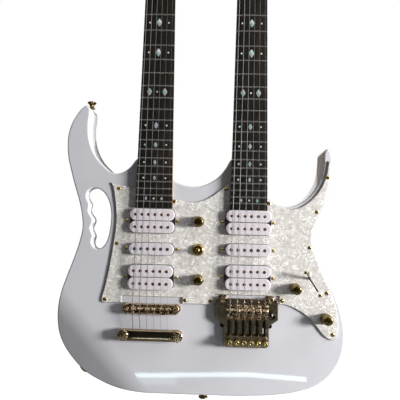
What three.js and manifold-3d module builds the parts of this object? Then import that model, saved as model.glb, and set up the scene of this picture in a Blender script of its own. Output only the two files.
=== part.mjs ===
// Double-neck electric guitar. One solid body carries two 24-fret necks side by side: the
// left one plays over a fixed bridge and a stop tailpiece, the right one over a locking
// tremolo. A single pearl pickguard holds both pickup sets, four knobs and two switches.
//
// Millimetres. X points right as the audience sees it, Z runs up the necks and the front
// faces -Y. The origin is the middle of the end strap button's outer face, and y = 0 is the
// middle of the body's thickness.
import * as THREE from 'three';
import { mergeVertices } from 'three/addons/utils/BufferGeometryUtils.js';
import Module from 'manifold-3d';

const wasm = await Module();
wasm.setup();

// Clearances
const fitGap = 0.3; // between pieces that rest on or run in each other
const overrun = 2; // how far a cutting tool reaches past the face that it cuts
const bite = 0.5; // how far a welded or cast feature is sunk into the piece that carries it
const mergeTolerance = 1e-4;
const outlineTolerance = 0.35;
const curveSteps = 3;
const screwSides = 6;

// Body
const bodyLength = 441;
const bodyWidth = 439;
const bodyThickness = 43;
const bodyCentreX = -9.7; // the end button isn't quite in the middle of the lower bout
const edgeRadius = 2.5;
const buttonHeight = 11.3;
const bodyBottomZ = buttonHeight;
const frontY = -bodyThickness / 2;
const backY = bodyThickness / 2;

// Scale and necks
const scaleLength = 647.7;
const fretCount = 24;
const stringCount = 6;
const leftNeckShare = -0.3303; // of the body's half width, from its middle
const rightNeckShare = 0.33303;
const neckEndShare = 0.63384; // of the body's length, where both fretboards end
const nutWidth = 43;
const lastFretWidth = 56;
const fretboardRise = 10; // top of the fretboard above the body's face
const fretboardThickness = 6;
const fretboardTail = 9.6; // from the last fret to the fretboard's end
const fretboardRadius = 400;
const fretWidth = 2.4;
const fretHeight = 1.1;
const pocketDepth = 16;
const nutThickness = 4.2;
const headAngle = 14 * Math.PI / 180;
const headThickness = 14;

// Pickguard
const guardThickness = 2.5;
const guardScrewRadius = 3.1;
const guardScrewRise = 1.3;

// Strings
const nutStringSpread = 35.5; // outer string to outer string
const bridgeStringSpread = 52.4;
const stringRadii = [0.53, 0.46, 0.33, 0.22, 0.17, 0.12];
const stringSides = 5;
const saddleStringRise = 15.5; // string above the body's face at the bridges
const nutStringRise = 2.1; // string above the fretboard's top at the nut

// Levels worked out from the above
const guardBackY = frontY - fitGap;
const guardFrontY = guardBackY - guardThickness;
const fretboardTopY = frontY - fretboardRise;
const neckFaceY = fretboardTopY + fretboardThickness + fitGap;
const leftNeckX = bodyCentreX + leftNeckShare * bodyWidth / 2;
const rightNeckX = bodyCentreX + rightNeckShare * bodyWidth / 2;
const neckEndZ = bodyBottomZ + neckEndShare * bodyLength;
const lastFretZ = neckEndZ + fretboardTail;
const saddleZ = lastFretZ - scaleLength * 2 ** (-fretCount / 12);
const nutZ = saddleZ + scaleLength;
const headZ = nutZ + nutThickness + fitGap;
const saddleStringY = frontY - saddleStringRise;
const nutStringY = fretboardTopY - nutStringRise;

// Materials
function finish(color, roughness, metalness) {
  return new THREE.MeshStandardMaterial({ color, roughness, metalness });
}
const whiteLacquer = finish('#e9e8ee', 0.12, 0);
const pearl = finish('#dfe0dc', 0.3, 0);
const whitePlastic = finish('#dcd9e6', 0.35, 0);
const maple = finish('#cfa46a', 0.4, 0);
const rosewood = finish('#241a17', 0.55, 0);
const gold = finish('#a8883c', 0.25, 1);
const steel = finish('#8f8f8c', 0.35, 1);
const bone = finish('#e8e2d0', 0.45, 0);
const blackPlastic = finish('#161616', 0.45, 0);

// Turns a geometry into a closed solid that can be joined and cut
function solidOf(geometry) {
  const bare = geometry.clone();
  bare.deleteAttribute('normal');
  bare.deleteAttribute('uv');
  const merged = mergeVertices(bare, mergeTolerance);
  return new wasm.Manifold(new wasm.Mesh({
    numProp: 3,
    vertProperties: merged.attributes.position.array,
    triVerts: Uint32Array.from(merged.index.array),
  }));
}

function geometryOf(solid) {
  const mesh = solid.getMesh();
  const geometry = new THREE.BufferGeometry();
  geometry.setAttribute('position', new THREE.Float32BufferAttribute(mesh.vertProperties, 3));
  geometry.setIndex(Array.from(mesh.triVerts));
  geometry.computeVertexNormals();
  return geometry;
}

function join(...geometries) {
  return geometryOf(geometries.map(solidOf).reduce((whole, piece) => whole.add(piece)));
}

function cut(geometry, ...tools) {
  return geometryOf(tools.map(solidOf).reduce((rest, tool) => rest.subtract(tool), solidOf(geometry)));
}

function signedVolume(geometry) {
  const at = geometry.attributes.position;
  const index = geometry.index;
  const corners = [new THREE.Vector3(), new THREE.Vector3(), new THREE.Vector3()];
  let total = 0;
  for (let i = 0; i < index.count; i += 3) {
    corners.forEach((corner, k) => corner.fromBufferAttribute(at, index.getX(i + k)));
    total += corners[0].dot(corners[1].clone().cross(corners[2])) / 6;
  }
  return total;
}

// Faces pointing out, whichever way round the profile or the sections were listed
function outward(geometry) {
  if (signedVolume(geometry) < 0) {
    const flipped = Array.from(geometry.index.array);
    for (let i = 0; i < flipped.length; i += 3) {
      [flipped[i + 1], flipped[i + 2]] = [flipped[i + 2], flipped[i + 1]];
    }
    geometry.setIndex(flipped);
  }
  geometry.computeVertexNormals();
  return geometry;
}

// A plate that lies flat in the XZ plane, from backFaceY towards the front
function slab(outline, backFaceY, thickness, { holes = [], edge = 0, rounds = 2 } = {}) {
  const shape = new THREE.Shape(outline);
  for (const hole of holes) {
    shape.holes.push(new THREE.Path(hole));
  }
  const geometry = new THREE.ExtrudeGeometry(shape, {
    depth: thickness - 2 * edge,
    steps: 1,
    bevelEnabled: edge > 0,
    bevelThickness: edge,
    bevelSize: edge,
    bevelOffset: -edge,
    bevelSegments: rounds,
  });
  return geometry.rotateX(Math.PI / 2).translate(0, backFaceY - edge, 0);
}

function prism(outline, depth) {
  return new THREE.ExtrudeGeometry(new THREE.Shape(outline), { depth, bevelEnabled: false });
}

// A solid of revolution about the front-to-back axis; points are [radius, y]
function turned(points, sides) {
  return outward(new THREE.LatheGeometry(points.map(([r, y]) => new THREE.Vector2(r, y)), sides));
}

// A round bar along Y between two levels
function barY(radius, fromY, toY, x, z, sides) {
  return new THREE.CylinderGeometry(radius, radius, Math.abs(toY - fromY), sides)
    .translate(x, (fromY + toY) / 2, z);
}

function barZ(radius, fromZ, toZ, x, y, sides) {
  return new THREE.CylinderGeometry(radius, radius, Math.abs(toZ - fromZ), sides)
    .rotateX(Math.PI / 2).translate(x, y, (fromZ + toZ) / 2);
}

function barX(radius, fromX, toX, y, z, sides) {
  return new THREE.CylinderGeometry(radius, radius, Math.abs(toX - fromX), sides)
    .rotateZ(Math.PI / 2).translate((fromX + toX) / 2, y, z);
}

// The corner radius of a bore that clears a round piece all round
function boreRadius(radius, sides) {
  return (radius + fitGap) / Math.cos(Math.PI / sides);
}

// A domed screw head sunk a little into the face that it clamps
function screwHead(radius, rise, faceY, x, z) {
  return new THREE.CylinderGeometry(radius, radius / 2, rise + bite, screwSides)
    .translate(x, faceY + (bite - rise) / 2, z);
}

function block(fromX, toX, fromY, toY, fromZ, toZ) {
  return new THREE.BoxGeometry(Math.abs(toX - fromX), Math.abs(toY - fromY), Math.abs(toZ - fromZ))
    .translate((fromX + toX) / 2, (fromY + toY) / 2, (fromZ + toZ) / 2);
}

// A skin over convex sections that all have the same number of points
function loft(sections) {
  const count = sections[0].length;
  const last = (sections.length - 1) * count;
  const faces = [];
  for (let s = 0; s < sections.length - 1; s++) {
    for (let i = 0; i < count; i++) {
      const a = s * count + i;
      const b = s * count + (i + 1) % count;
      faces.push(a, b, a + count, b, b + count, a + count);
    }
  }
  for (let i = 1; i < count - 1; i++) {
    faces.push(0, i + 1, i);
    faces.push(last, last + i, last + i + 1);
  }
  const geometry = new THREE.BufferGeometry();
  const places = sections.flat().flatMap((p) => [p.x, p.y, p.z]);
  geometry.setAttribute('position', new THREE.Float32BufferAttribute(places, 3));
  geometry.setIndex(faces);
  return outward(geometry);
}

// Drops the points of an outline that lie almost on the line between their neighbours, or
// closer to the last one than the rounding of the edge
function thinned(points) {
  const kept = [points[0]];
  for (let i = 1; i < points.length - 1; i++) {
    const from = kept[kept.length - 1];
    const along = points[i + 1].clone().sub(from);
    const off = Math.abs(along.cross(points[i].clone().sub(from))) / along.length();
    if (off > outlineTolerance && points[i].distanceTo(from) > edgeRadius) {
      kept.push(points[i]);
    }
  }
  kept.push(points[points.length - 1]);
  return kept;
}

// Smooth outlines
function closedCurve(points) {
  const knots = points.map(([x, z]) => new THREE.Vector3(x, z, 0));
  const curve = new THREE.CatmullRomCurve3(knots, true, 'centripetal');
  const fine = curve.getPoints(points.length * curveSteps).map((p) => new THREE.Vector2(p.x, p.y));
  return thinned(fine).slice(0, -1);
}

// Runs of points, smooth inside each run, with a corner where one run ends and the next starts
function corneredCurve(runs) {
  return runs.flatMap((run) => {
    if (run.length === 2) {
      return run.map(([x, z]) => new THREE.Vector2(x, z));
    }
    const knots = run.map(([x, z]) => new THREE.Vector3(x, z, 0));
    const curve = new THREE.CatmullRomCurve3(knots, false, 'centripetal');
    const fine = curve.getPoints((run.length - 1) * curveSteps);
    return thinned(fine.map((p) => new THREE.Vector2(p.x, p.y)));
  });
}

function roundedBox(centreX, centreZ, width, height, radius, arcSteps = 3) {
  const outline = [];
  const corners = [[1, 1, 0], [-1, 1, 1], [-1, -1, 2], [1, -1, 3]];
  for (const [sx, sz, quarter] of corners) {
    for (let k = 0; k <= arcSteps; k++) {
      const angle = (quarter + k / arcSteps) * Math.PI / 2;
      outline.push(new THREE.Vector2(
        centreX + sx * (width / 2 - radius) + radius * Math.cos(angle),
        centreZ + sz * (height / 2 - radius) + radius * Math.sin(angle),
      ));
    }
  }
  return outline;
}

// Where shares of the body's half width and length fall on the body
function onBody(shares) {
  return shares.map(([xShare, zShare]) => [
    bodyCentreX + xShare * bodyWidth / 2,
    bodyBottomZ + zShare * bodyLength,
  ]);
}

// The body's outline: down the left side from the tall horn, round the bottom, up to the
// short horn, and back along both cutaways and the gap between the necks
const bodyShares = [
  [-0.85, 1.0], [-0.885, 0.987], [-0.919, 0.964], [-0.951, 0.932], [-0.971, 0.896],
  [-0.975, 0.859], [-0.967, 0.814], [-0.942, 0.764], [-0.906, 0.705], [-0.869, 0.649],
  [-0.845, 0.596], [-0.84, 0.556], [-0.858, 0.508], [-0.892, 0.451], [-0.933, 0.393],
  [-0.969, 0.338], [-0.992, 0.283], [-1.0, 0.23], [-0.988, 0.181], [-0.948, 0.135],
  [-0.885, 0.094], [-0.803, 0.056], [-0.708, 0.032], [-0.58, 0.011], [-0.407, 0.001],
  [-0.184, 0], [0.044, 0], [0.318, 0.002], [0.527, 0.009], [0.687, 0.023],
  [0.814, 0.046], [0.917, 0.088], [0.978, 0.141], [1.0, 0.196], [0.998, 0.243],
  [0.978, 0.295], [0.937, 0.353], [0.882, 0.409], [0.826, 0.467], [0.796, 0.515],
  [0.791, 0.546], [0.805, 0.584], [0.842, 0.624], [0.88, 0.671], [0.91, 0.732],
  [0.92, 0.787], [0.917, 0.822], [0.904, 0.849], [0.884, 0.857], [0.864, 0.848],
  [0.858, 0.816], [0.85, 0.776], [0.827, 0.737], [0.785, 0.703], [0.732, 0.675],
  [0.664, 0.656], [0.594, 0.649], [0.532, 0.659], [0.477, 0.684], [0.4, 0.728],
  [0.308, 0.778], [0.245, 0.814], [0.208, 0.813], [0.167, 0.78], [0.117, 0.749],
  [0.053, 0.727], [-0.015, 0.714], [-0.092, 0.715], [-0.159, 0.724], [-0.211, 0.739],
  [-0.302, 0.773], [-0.393, 0.805], [-0.448, 0.814], [-0.477, 0.803], [-0.512, 0.78],
  [-0.553, 0.763], [-0.605, 0.754], [-0.648, 0.759], [-0.701, 0.78], [-0.749, 0.805],
  [-0.792, 0.841], [-0.819, 0.884], [-0.826, 0.93], [-0.82, 0.968], [-0.826, 0.991],
];

// The handle slot, with three finger ridges on the side of the grip
const slotShares = [
  [-0.776, 0.7], [-0.73, 0.697], [-0.69, 0.682], [-0.658, 0.655], [-0.641, 0.621],
  [-0.638, 0.59], [-0.643, 0.556], [-0.655, 0.524], [-0.676, 0.501], [-0.71, 0.487],
  [-0.746, 0.49], [-0.768, 0.509], [-0.761, 0.533], [-0.78, 0.558], [-0.766, 0.587],
  [-0.798, 0.617], [-0.794, 0.641], [-0.817, 0.668], [-0.808, 0.689],
];
const bodyOutline = closedCurve(onBody(bodyShares));
const slotOutline = closedCurve(onBody(slotShares));

// Half width of a neck or fretboard at a height, from the taper between nut and last fret
function halfWidthAt(z) {
  const share = (nutZ - z) / (nutZ - lastFretZ);
  return (nutWidth + (lastFretWidth - nutWidth) * share) / 2;
}

function fretZ(number) {
  return saddleZ + scaleLength * 2 ** (-number / 12);
}

// Pickups: two bobbins or one, hung by their ears from the guard's two screws
const bobbinLength = 69;
const bobbinWidth = 18.2;
const bobbinGap = 0.8;
const bobbinRise = 7.5; // above the guard
const bobbinEndRadius = 8.9;
const poleRadius = 2.3;
const poleRise = 0.5;
const polePitch = 10;
const poleSides = 6;
const basePlateThickness = 2;
const basePlateDrop = 9; // base plate below the guard's back
const pickupEarLength = 80;
const pickupEarWidth = 12;
const pickupScrewSpacing = 77.5;
const pickupScrewRadius = 1.4;
const pickupScrewHeadRadius = 2.6;
const pickupScrewHeadRise = 1.4;
const guardHoleClearance = 0.7;
const leftNeckPickupDrop = 19.8; // below the fretboard's end
const rightNeckPickupDrop = 19.2;
const leftBridgePickupRise = 46.9; // above the saddles
const rightBridgePickupRise = 49.9;
const leftPickupZs = evenly(neckEndZ - leftNeckPickupDrop, saddleZ + leftBridgePickupRise);
const rightPickupZs = evenly(neckEndZ - rightNeckPickupDrop, saddleZ + rightBridgePickupRise);
const pickupPlaces = [['neck', 2], ['middle', 1], ['bridge', 2]].map(([name, bobbins], k) => (
  { name, bobbins, leftZ: leftPickupZs[k], rightZ: rightPickupZs[k] }));
const leftPickupShift = -1.6; // the left set hangs a little off its neck's centre line
const rightPickupShift = -0.2;

function evenly(neckSideZ, bridgeSideZ) {
  return [neckSideZ, (neckSideZ + bridgeSideZ) / 2, bridgeSideZ];
}

function pickupDepth(bobbins) {
  return bobbins * bobbinWidth + (bobbins - 1) * bobbinGap;
}

function pickupHole(bobbins, x, z) {
  const length = bobbinLength + 2 * guardHoleClearance;
  const depth = pickupDepth(bobbins) + 2 * guardHoleClearance;
  return roundedBox(x, z, length, depth, bobbinEndRadius);
}

function pickupGeometry(bobbins) {
  const topY = guardFrontY - bobbinRise;
  const plateFrontY = guardBackY + basePlateDrop;
  const plateBackY = plateFrontY + basePlateThickness;
  const depth = pickupDepth(bobbins);
  const pieces = [
    slab(roundedBox(0, 0, bobbinLength, depth, bobbinEndRadius, 1), plateBackY, basePlateThickness),
    slab(roundedBox(0, 0, pickupEarLength, pickupEarWidth, pickupEarWidth / 4, 1), plateBackY,
      basePlateThickness),
  ];
  for (let b = 0; b < bobbins; b++) {
    const z = (b - (bobbins - 1) / 2) * (bobbinWidth + bobbinGap);
    const height = plateFrontY + bite - topY;
    pieces.push(slab(roundedBox(0, z, bobbinLength, bobbinWidth, bobbinEndRadius, 2),
      plateFrontY + bite, height));
    for (let s = 0; s < stringCount; s++) {
      const x = (s - (stringCount - 1) / 2) * polePitch;
      pieces.push(barY(poleRadius, topY + bite, topY - poleRise, x, z, poleSides));
    }
  }
  return join(...pieces);
}

// Controls on the guard
const knobRadius = 8.3;
const knobTopRadius = 7.4;
const knobHeight = 16.5;
const knobShaftRadius = 3;
const knobLift = 1.2; // under a knob's skirt
const potDepth = 12; // shaft and pot below the guard's back
const toggleShare = -0.0123; // of the body's half width, between the two pickup sets
const toggleX = bodyCentreX + toggleShare * bodyWidth / 2;
const toggleRise = 0.4; // above the middle pickup's centre line
const toggleZ = leftPickupZs[1] + toggleRise;
const volumeKnobRise = 0.5;
const toneKnobDrop = 1.9;
const toneKnobShift = 1.2;
const rightVolumeShares = [0.6601, 0.3694];
const rightToneShares = [0.8688, 0.2714];
const knobPlaces = [
  ['knob_left_volume', toggleX, leftPickupZs[0] + volumeKnobRise],
  ['knob_left_tone', toggleX + toneKnobShift, leftPickupZs[2] - toneKnobDrop],
  ['knob_right_volume', ...onBody([rightVolumeShares])[0]],
  ['knob_right_tone', ...onBody([rightToneShares])[0]],
];
const toggleBushRadius = 6;
const toggleRingRadius = 9.2;
const toggleRingThickness = 2;
const toggleNutRadius = 7.4;
const toggleNutThickness = 3;
const toggleLeverRadius = 2;
const toggleLeverLength = 13;
const toggleTipRadius = 3.6;
const toggleMouthRadius = 5;
const toggleBallRadius = 3.2;
const togglePivotDrop = 6; // ball centre below the guard's front
const toggleCanRadius = 8;
const switchShares = [0.7836, 0.3857];
const [switchX, switchZ] = onBody([switchShares])[0];
const switchTurn = 57.5 * Math.PI / 180; // the slot's slant from level, falling to the right
const switchSlotLength = 28;
const switchSlotWidth = 2.2;
const switchScrewSpacing = 40;
const switchLeverThickness = 1.2;
const switchLeverWidth = 4;
const switchTipRadius = 3.4;
const switchTipLength = 8;
const switchPivotDrop = 16; // below the guard's front
const switchLeverReach = 30;
const switchLean = 30 * Math.PI / 180; // at rest the lever lies at the slot's upper end

// Bridges
const tomWidth = 85.5;
const tomDepth = 15.5;
const tomHeight = 6.5;
const tomPostSpacing = 74;
const tomPostRadius = 3.2;
const tomPostDrop = 18;
const tomWheelRadius = 7.4;
const tomWheelThickness = 3;
const tomSaddleWidth = 8;
const tomSaddleRise = 2.4;
const tailpieceWidth = 95;
const tailpieceDepth = 18.5;
const tailpieceHeight = 9.5;
const tailpieceDrop = 38.9; // below the saddles
const tailpieceZ = saddleZ - tailpieceDrop;
const tailpieceLift = 4; // under the tailpiece
const studSpacing = 81.5;
const studRadius = 5.5;
const studHeadRadius = 8.2;
const studDrop = 20;
const leftBridgeShift = 1.1;
const leftBridgeX = leftNeckX + leftBridgeShift;

// Tremolo: its levels are set out from the saddles, rises towards the nut and drops away from it
const tremWidth = 94.4;
const tremFrontRise = 19.3;
const tremFrontZ = saddleZ + tremFrontRise;
const tremShoulderDrop = 11;
const tremShoulderZ = saddleZ - tremShoulderDrop;
const tremWaistDrop = 20;
const tremWaistZ = saddleZ - tremWaistDrop;
const tremTailWidth = 67.6;
const tremTailDrop = 52.5;
const tremTailZ = saddleZ - tremTailDrop;
const tremPlateThickness = 3.4;
const tremPlateLift = 5; // the plate's back above the body's face
const tremPivotRise = 13.5;
const tremPivotZ = saddleZ + tremPivotRise;
const tremStudSpacing = 71;
const tremStudRise = 18.1;
const tremStudZ = saddleZ + tremStudRise;
const tremStudRadius = 3.4;
const tremStudNotchRadius = 5.5;
const tremStudHeadRadius = 4.8; // small enough for the plate to tilt behind it
const tremShift = 1; // the tremolo's middle left of the neck's centre line
const tremCentreX = rightNeckX - tremShift;
const saddlePitch = bridgeStringSpread / (stringCount - 1);
const saddleWidth = 9.6;
const saddleFrontReach = 10.5; // stays clear of the studs' heads when the plate tilts
const saddleRearReach = 11.5;
const saddleFrontZ = saddleZ + saddleFrontReach;
const saddleRearZ = saddleZ - saddleRearReach;
const lockScrewRadius = 2;
const riserFrontDrop = 34.5;
const riserFrontZ = saddleZ - riserFrontDrop;
const riserHeight = 6.5;
const fineTunerDrop = 42.9;
const fineTunerZ = saddleZ - fineTunerDrop;
const fineTunerRadius = 3.9;
const fineTunerShank = 2;
const fineTunerHeight = 6.5;
const blockWidth = 70;
const blockFrontRise = 8.5;
const blockFrontZ = saddleZ + blockFrontRise;
const blockRearDrop = 4;
const blockRearZ = saddleZ - blockRearDrop;
const blockBottomY = 11.5;
const armSocketShift = 37; // right of the tremolo's middle
const armSocketX = tremCentreX + armSocketShift;
const armSocketDrop = 4.3;
const armSocketZ = saddleZ - armSocketDrop;
const armSocketRadius = 5.6;
const armBoreRadius = 3.5;
const armSocketRise = 6;
const routeTopZ = tremStudZ;
const routeBottomDrop = 25.5;
const routeBottomZ = saddleZ - routeBottomDrop;
const routeWidth = 78;

// Spring cavity in the back
const cavityWidth = 76;
const cavityTopRise = 123.5; // above the saddles
const cavityTopZ = saddleZ + cavityTopRise;
const cavityFrontY = 1.5;
const coverThickness = 2;
const coverMargin = 9;
const springCount = 3;
const springRadius = 3.6;
const springWire = 0.7;
const springCurls = 5;
const springPitchX = 19;
const springY = 7.6;
const clawRise = 99.5;
const clawZ = saddleZ + clawRise;
const clawHeight = 2 * (springY - cavityFrontY - fitGap); // as tall as the cavity lets it be
const clawThickness = 2.4;
const clawWidth = 62;
const clawScrewRadius = 2;
const clawScrewSpacing = 30;
const clawScrewDepth = 24; // into the wood

// Strap buttons and output jack
const buttonRadius = 7.2;
const buttonWaist = 3.6;
const buttonScrewRadius = 2;
const buttonScrewLength = 24;
const hornButtonShare = -0.8378; // of the body's half width
const hornButtonX = bodyCentreX + hornButtonShare * bodyWidth / 2;
const hornTopZ = bodyBottomZ + bodyLength;
const jackShares = [-0.81777, 0.05964];
const [jackX, jackZ] = onBody([jackShares])[0];
const jackTurn = 43 * Math.PI / 180; // below level, out of the lower left rim
const jackSetback = 7.5; // behind the body's middle, as the forearm contour thins the rim there
const jackFlangeRadius = 8.8;
const jackFlangeThickness = 2.6;
const jackBarrelRadius = 5.6;
const jackBarrelLength = 24;
const jackEndWall = 3.4;
const jackBoreRadius = 3.7;
const jackFlareRadius = 6.9;

const guitar = new THREE.Group();

function addPiece(name, geometry, material, parent = guitar) {
  const mesh = new THREE.Mesh(geometry, material);
  mesh.name = name;
  parent.add(mesh);
  return mesh;
}

// The back cover's outline, grown by a clearance: it lies flush in a shallow step round the cavity
function coverOutline(grow) {
  return roundedBox(tremCentreX, (cavityTopZ + routeBottomZ) / 2, cavityWidth + 2 * (coverMargin + grow),
    cavityTopZ - routeBottomZ + 2 * (coverMargin + grow), edgeRadius + grow);
}

// The tapered shape of a neck's heel in plan, grown by a clearance
function heelOutline(neckX, fromZ, toZ, grow) {
  const low = halfWidthAt(fromZ) + grow;
  const high = halfWidthAt(toZ) + grow;
  return [
    new THREE.Vector2(neckX - low, fromZ),
    new THREE.Vector2(neckX + low, fromZ),
    new THREE.Vector2(neckX + high, toZ),
    new THREE.Vector2(neckX - high, toZ),
  ];
}

// Forearm contour: across the lower left the front rolls back along an arc, and then slopes
// straight on to the rim. Its crease starts on the left rim and ends on the bottom one
const contourStartShares = [[-0.843, 0.29], [-0.41, 0.054]];
const contourAngle = 18 * Math.PI / 180;
const contourRollRadius = 111;
const contourSteps = 4;

// How far back the front lies at a distance beyond the crease
function contourDrop(beyond) {
  const rollEnd = contourRollRadius * Math.sin(contourAngle);
  const rolled = THREE.MathUtils.clamp(beyond, 0, rollEnd);
  const drop = contourRollRadius - Math.sqrt(contourRollRadius ** 2 - rolled ** 2);
  return drop + Math.max(beyond - rollEnd, 0) * Math.tan(contourAngle);
}

// Splits a plate along the roll, bends the front of each strip back and joins the strips again,
// and leaves out the empty shells that rounding can leave where two strips meet
function contoured(geometry) {
  const [[fromX, fromZ], [toX, toZ]] = onBody(contourStartShares);
  const away = new THREE.Vector3(toZ - fromZ, 0, fromX - toX).normalize();
  const start = away.dot(new THREE.Vector3(fromX, 0, fromZ));
  const strips = [];
  let rest = solidOf(geometry);
  for (let step = 0; step <= contourSteps; step++) {
    const station = contourRollRadius * Math.sin(contourAngle * step / contourSteps);
    const [beyond, before] = rest.splitByPlane(away.toArray(), start + station);
    strips.push(before);
    rest = beyond;
  }
  strips.push(rest);
  const bent = strips.map((strip) => strip.warp((point) => {
    const beyond = away.x * point[0] + away.z * point[2] - start;
    point[1] += point[1] < 0 ? contourDrop(beyond) : 0;
  }));
  const shells = bent.reduce((whole, strip) => whole.add(strip)).decompose();
  return geometryOf(shells.reduce((most, shell) => (shell.volume() > most.volume() ? shell : most)));
}

// Body: rounded slab with the forearm contour, the handle slot, a pocket for each neck, one wide
// rout under the guard, the tremolo's way through, its spring cavity in the back, and every
// screw's bore
const poolDepth = 17; // rout under the pickups
const poolMargin = 3;
const controlDepth = 33; // rout under the knobs and switches
const controlRoutShares = [
  [0.56, 0.43], [0.56, 0.37], [0.72, 0.315], [0.82, 0.25], [0.93, 0.25], [0.91, 0.31],
  [0.84, 0.4], [0.75, 0.49],
];
const boreSides = 10;

function bodyGeometry() {
  const rounded = { holes: [slotOutline], edge: edgeRadius, rounds: 2 };
  const plate = contoured(slab(bodyOutline, backY, bodyThickness, rounded));
  const tools = [];
  for (const neckX of [leftNeckX, rightNeckX]) {
    const heel = heelOutline(neckX, neckEndZ - fitGap, bodyBottomZ + bodyLength, fitGap);
    tools.push(slab(heel, frontY + pocketDepth, pocketDepth + overrun));
  }
  const earReach = pickupEarLength / 2 + poolMargin;
  const bridgePlace = pickupPlaces[2];
  const routBottomZ = Math.min(bridgePlace.leftZ, bridgePlace.rightZ) - pickupDepth(2) / 2 - poolMargin;
  const routLeftX = leftNeckX + leftPickupShift - earReach;
  const routRightX = rightNeckX + rightPickupShift + earReach;
  const routTopZ = neckEndZ + poolMargin;
  const pool = roundedBox((routLeftX + routRightX) / 2, (routTopZ + routBottomZ) / 2,
    routRightX - routLeftX, routTopZ - routBottomZ, edgeRadius);
  tools.push(slab(pool, frontY + poolDepth, poolDepth + overrun));
  const controls = onBody(controlRoutShares).map(([x, z]) => new THREE.Vector2(x, z));
  tools.push(slab(controls, frontY + controlDepth, controlDepth + overrun));
  const columnHeight = routTopZ - routBottomZ - 2 * poolMargin;
  const column = roundedBox(toggleX, (routTopZ + routBottomZ) / 2, 4 * toggleCanRadius, columnHeight,
    edgeRadius);
  tools.push(slab(column, frontY + controlDepth, controlDepth + overrun));
  const route = roundedBox(tremCentreX, (routeTopZ + routeBottomZ) / 2, routeWidth,
    routeTopZ - routeBottomZ, edgeRadius);
  tools.push(slab(route, backY + overrun, bodyThickness + 2 * overrun));
  const cavity = roundedBox(tremCentreX, (cavityTopZ + routeBottomZ) / 2, cavityWidth,
    cavityTopZ - routeBottomZ, edgeRadius);
  tools.push(slab(cavity, backY + overrun, backY - cavityFrontY + overrun));
  tools.push(slab(coverOutline(fitGap), backY + overrun, coverThickness + fitGap + overrun));
  for (const side of [-1, 1]) {
    tools.push(barZ(boreRadius(clawScrewRadius, screwSides), cavityTopZ - overrun,
      cavityTopZ + clawScrewDepth + fitGap, tremCentreX + side * clawScrewSpacing / 2, springY,
      screwSides));
    tools.push(barY(boreRadius(tomPostRadius, boreSides), frontY - overrun, frontY + tomPostDrop + fitGap,
      leftBridgeX + side * tomPostSpacing / 2, saddleZ, boreSides));
    tools.push(barY(boreRadius(studRadius, boreSides), frontY - overrun, frontY + studDrop + fitGap,
      leftBridgeX + side * studSpacing / 2, tailpieceZ, boreSides));
  }
  tools.push(barZ(boreRadius(buttonScrewRadius, screwSides), bodyBottomZ - overrun,
    bodyBottomZ + buttonScrewLength + fitGap, 0, 0, screwSides));
  tools.push(barZ(boreRadius(buttonScrewRadius, screwSides), hornTopZ - buttonScrewLength - fitGap,
    hornTopZ + overrun, hornButtonX, 0, screwSides));
  const jackBore = barX(boreRadius(jackBarrelRadius, boreSides), -overrun, jackBarrelLength + fitGap,
    0, 0, boreSides);
  const jackSeat = barX(boreRadius(jackFlangeRadius, boreSides), -jackBarrelLength, 0, 0, 0, boreSides);
  for (const tool of [jackBore, jackSeat]) {
    tools.push(tool.rotateY(-jackTurn).translate(jackX, jackSetback, jackZ));
  }
  const routed = cut(plate, ...tools);
  const studs = [-1, 1].flatMap((side) => {
    const x = tremCentreX + side * tremStudSpacing / 2;
    const headBackY = frontY - tremPlateLift - tremPlateThickness - 2 * fitGap;
    return [
      barY(tremStudRadius, frontY + bite, headBackY - bite, x, tremStudZ, screwSides),
      barY(tremStudHeadRadius, headBackY, headBackY - guardScrewRise, x, tremStudZ, boreSides),
    ];
  });
  return join(routed, ...studs);
}

// Pickguard: the left edge, the top edges between the necks and the horn, the right edge
// and the bottom edge with its notches for both bridges
const guardEdge = 1;
const guardLeftShares = [
  [-0.661, 0.3], [-0.68, 0.307], [-0.665, 0.349], [-0.643, 0.405], [-0.621, 0.478],
  [-0.604, 0.548], [-0.599, 0.591], [-0.608, 0.643], [-0.631, 0.705], [-0.648, 0.721],
];
const guardCentreShares = [
  [-0.2, 0.674], [-0.12, 0.662], [-0.051, 0.659], [-0.006, 0.663], [0.056, 0.676],
  [0.122, 0.699], [0.172, 0.72], [0.205, 0.729],
];
const guardHornShares = [
  [0.463, 0.676], [0.491, 0.666], [0.527, 0.656], [0.564, 0.648], [0.598, 0.642],
  [0.657, 0.643], [0.723, 0.658], [0.789, 0.686], [0.841, 0.724], [0.869, 0.761],
  [0.882, 0.797], [0.884, 0.813],
];
const guardRightShares = [
  [0.9, 0.809], [0.905, 0.784], [0.896, 0.745], [0.878, 0.698], [0.851, 0.657],
  [0.823, 0.624], [0.79, 0.584], [0.776, 0.55], [0.78, 0.521], [0.8, 0.485],
  [0.829, 0.448], [0.862, 0.41], [0.897, 0.373], [0.926, 0.337], [0.946, 0.299],
  [0.958, 0.265], [0.957, 0.231], [0.944, 0.205], [0.914, 0.198], [0.887, 0.202],
  [0.855, 0.212], [0.819, 0.233], [0.767, 0.264], [0.716, 0.284], [0.65, 0.302],
  [0.598, 0.311],
];
const guardBottomRise = 7.3; // above the saddles
const guardScrewShares = [
  [-0.584, 0.7], [-0.584, 0.507], [-0.653, 0.314], [0.883, 0.754], [0.807, 0.633],
  [0.759, 0.509], [0.877, 0.356], [0.918, 0.218],
];
const neckScrewInset = 3.4; // from a neck's edge to the middle of a screw beside it
const neckScrewShares = [0.658, 0.705, 0.659];
const notchScrewInset = 5; // from the edges of the bridges' notches
const bottomScrewRise = 6;
const tremNotchMargin = 1.6;
const tremNotchTop = 3.6;
const tomNotchMargin = 3;
const tomNotchTop = 9;
const switchPlateThickness = 1.5;
const switchPlateWidth = 36;
const switchPivotRadius = 1.5;
const switchPivotMargin = 4; // switch plates below their pivot
const switchScrewRadius = 2.6;
const controlHoleSides = 10;

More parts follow.
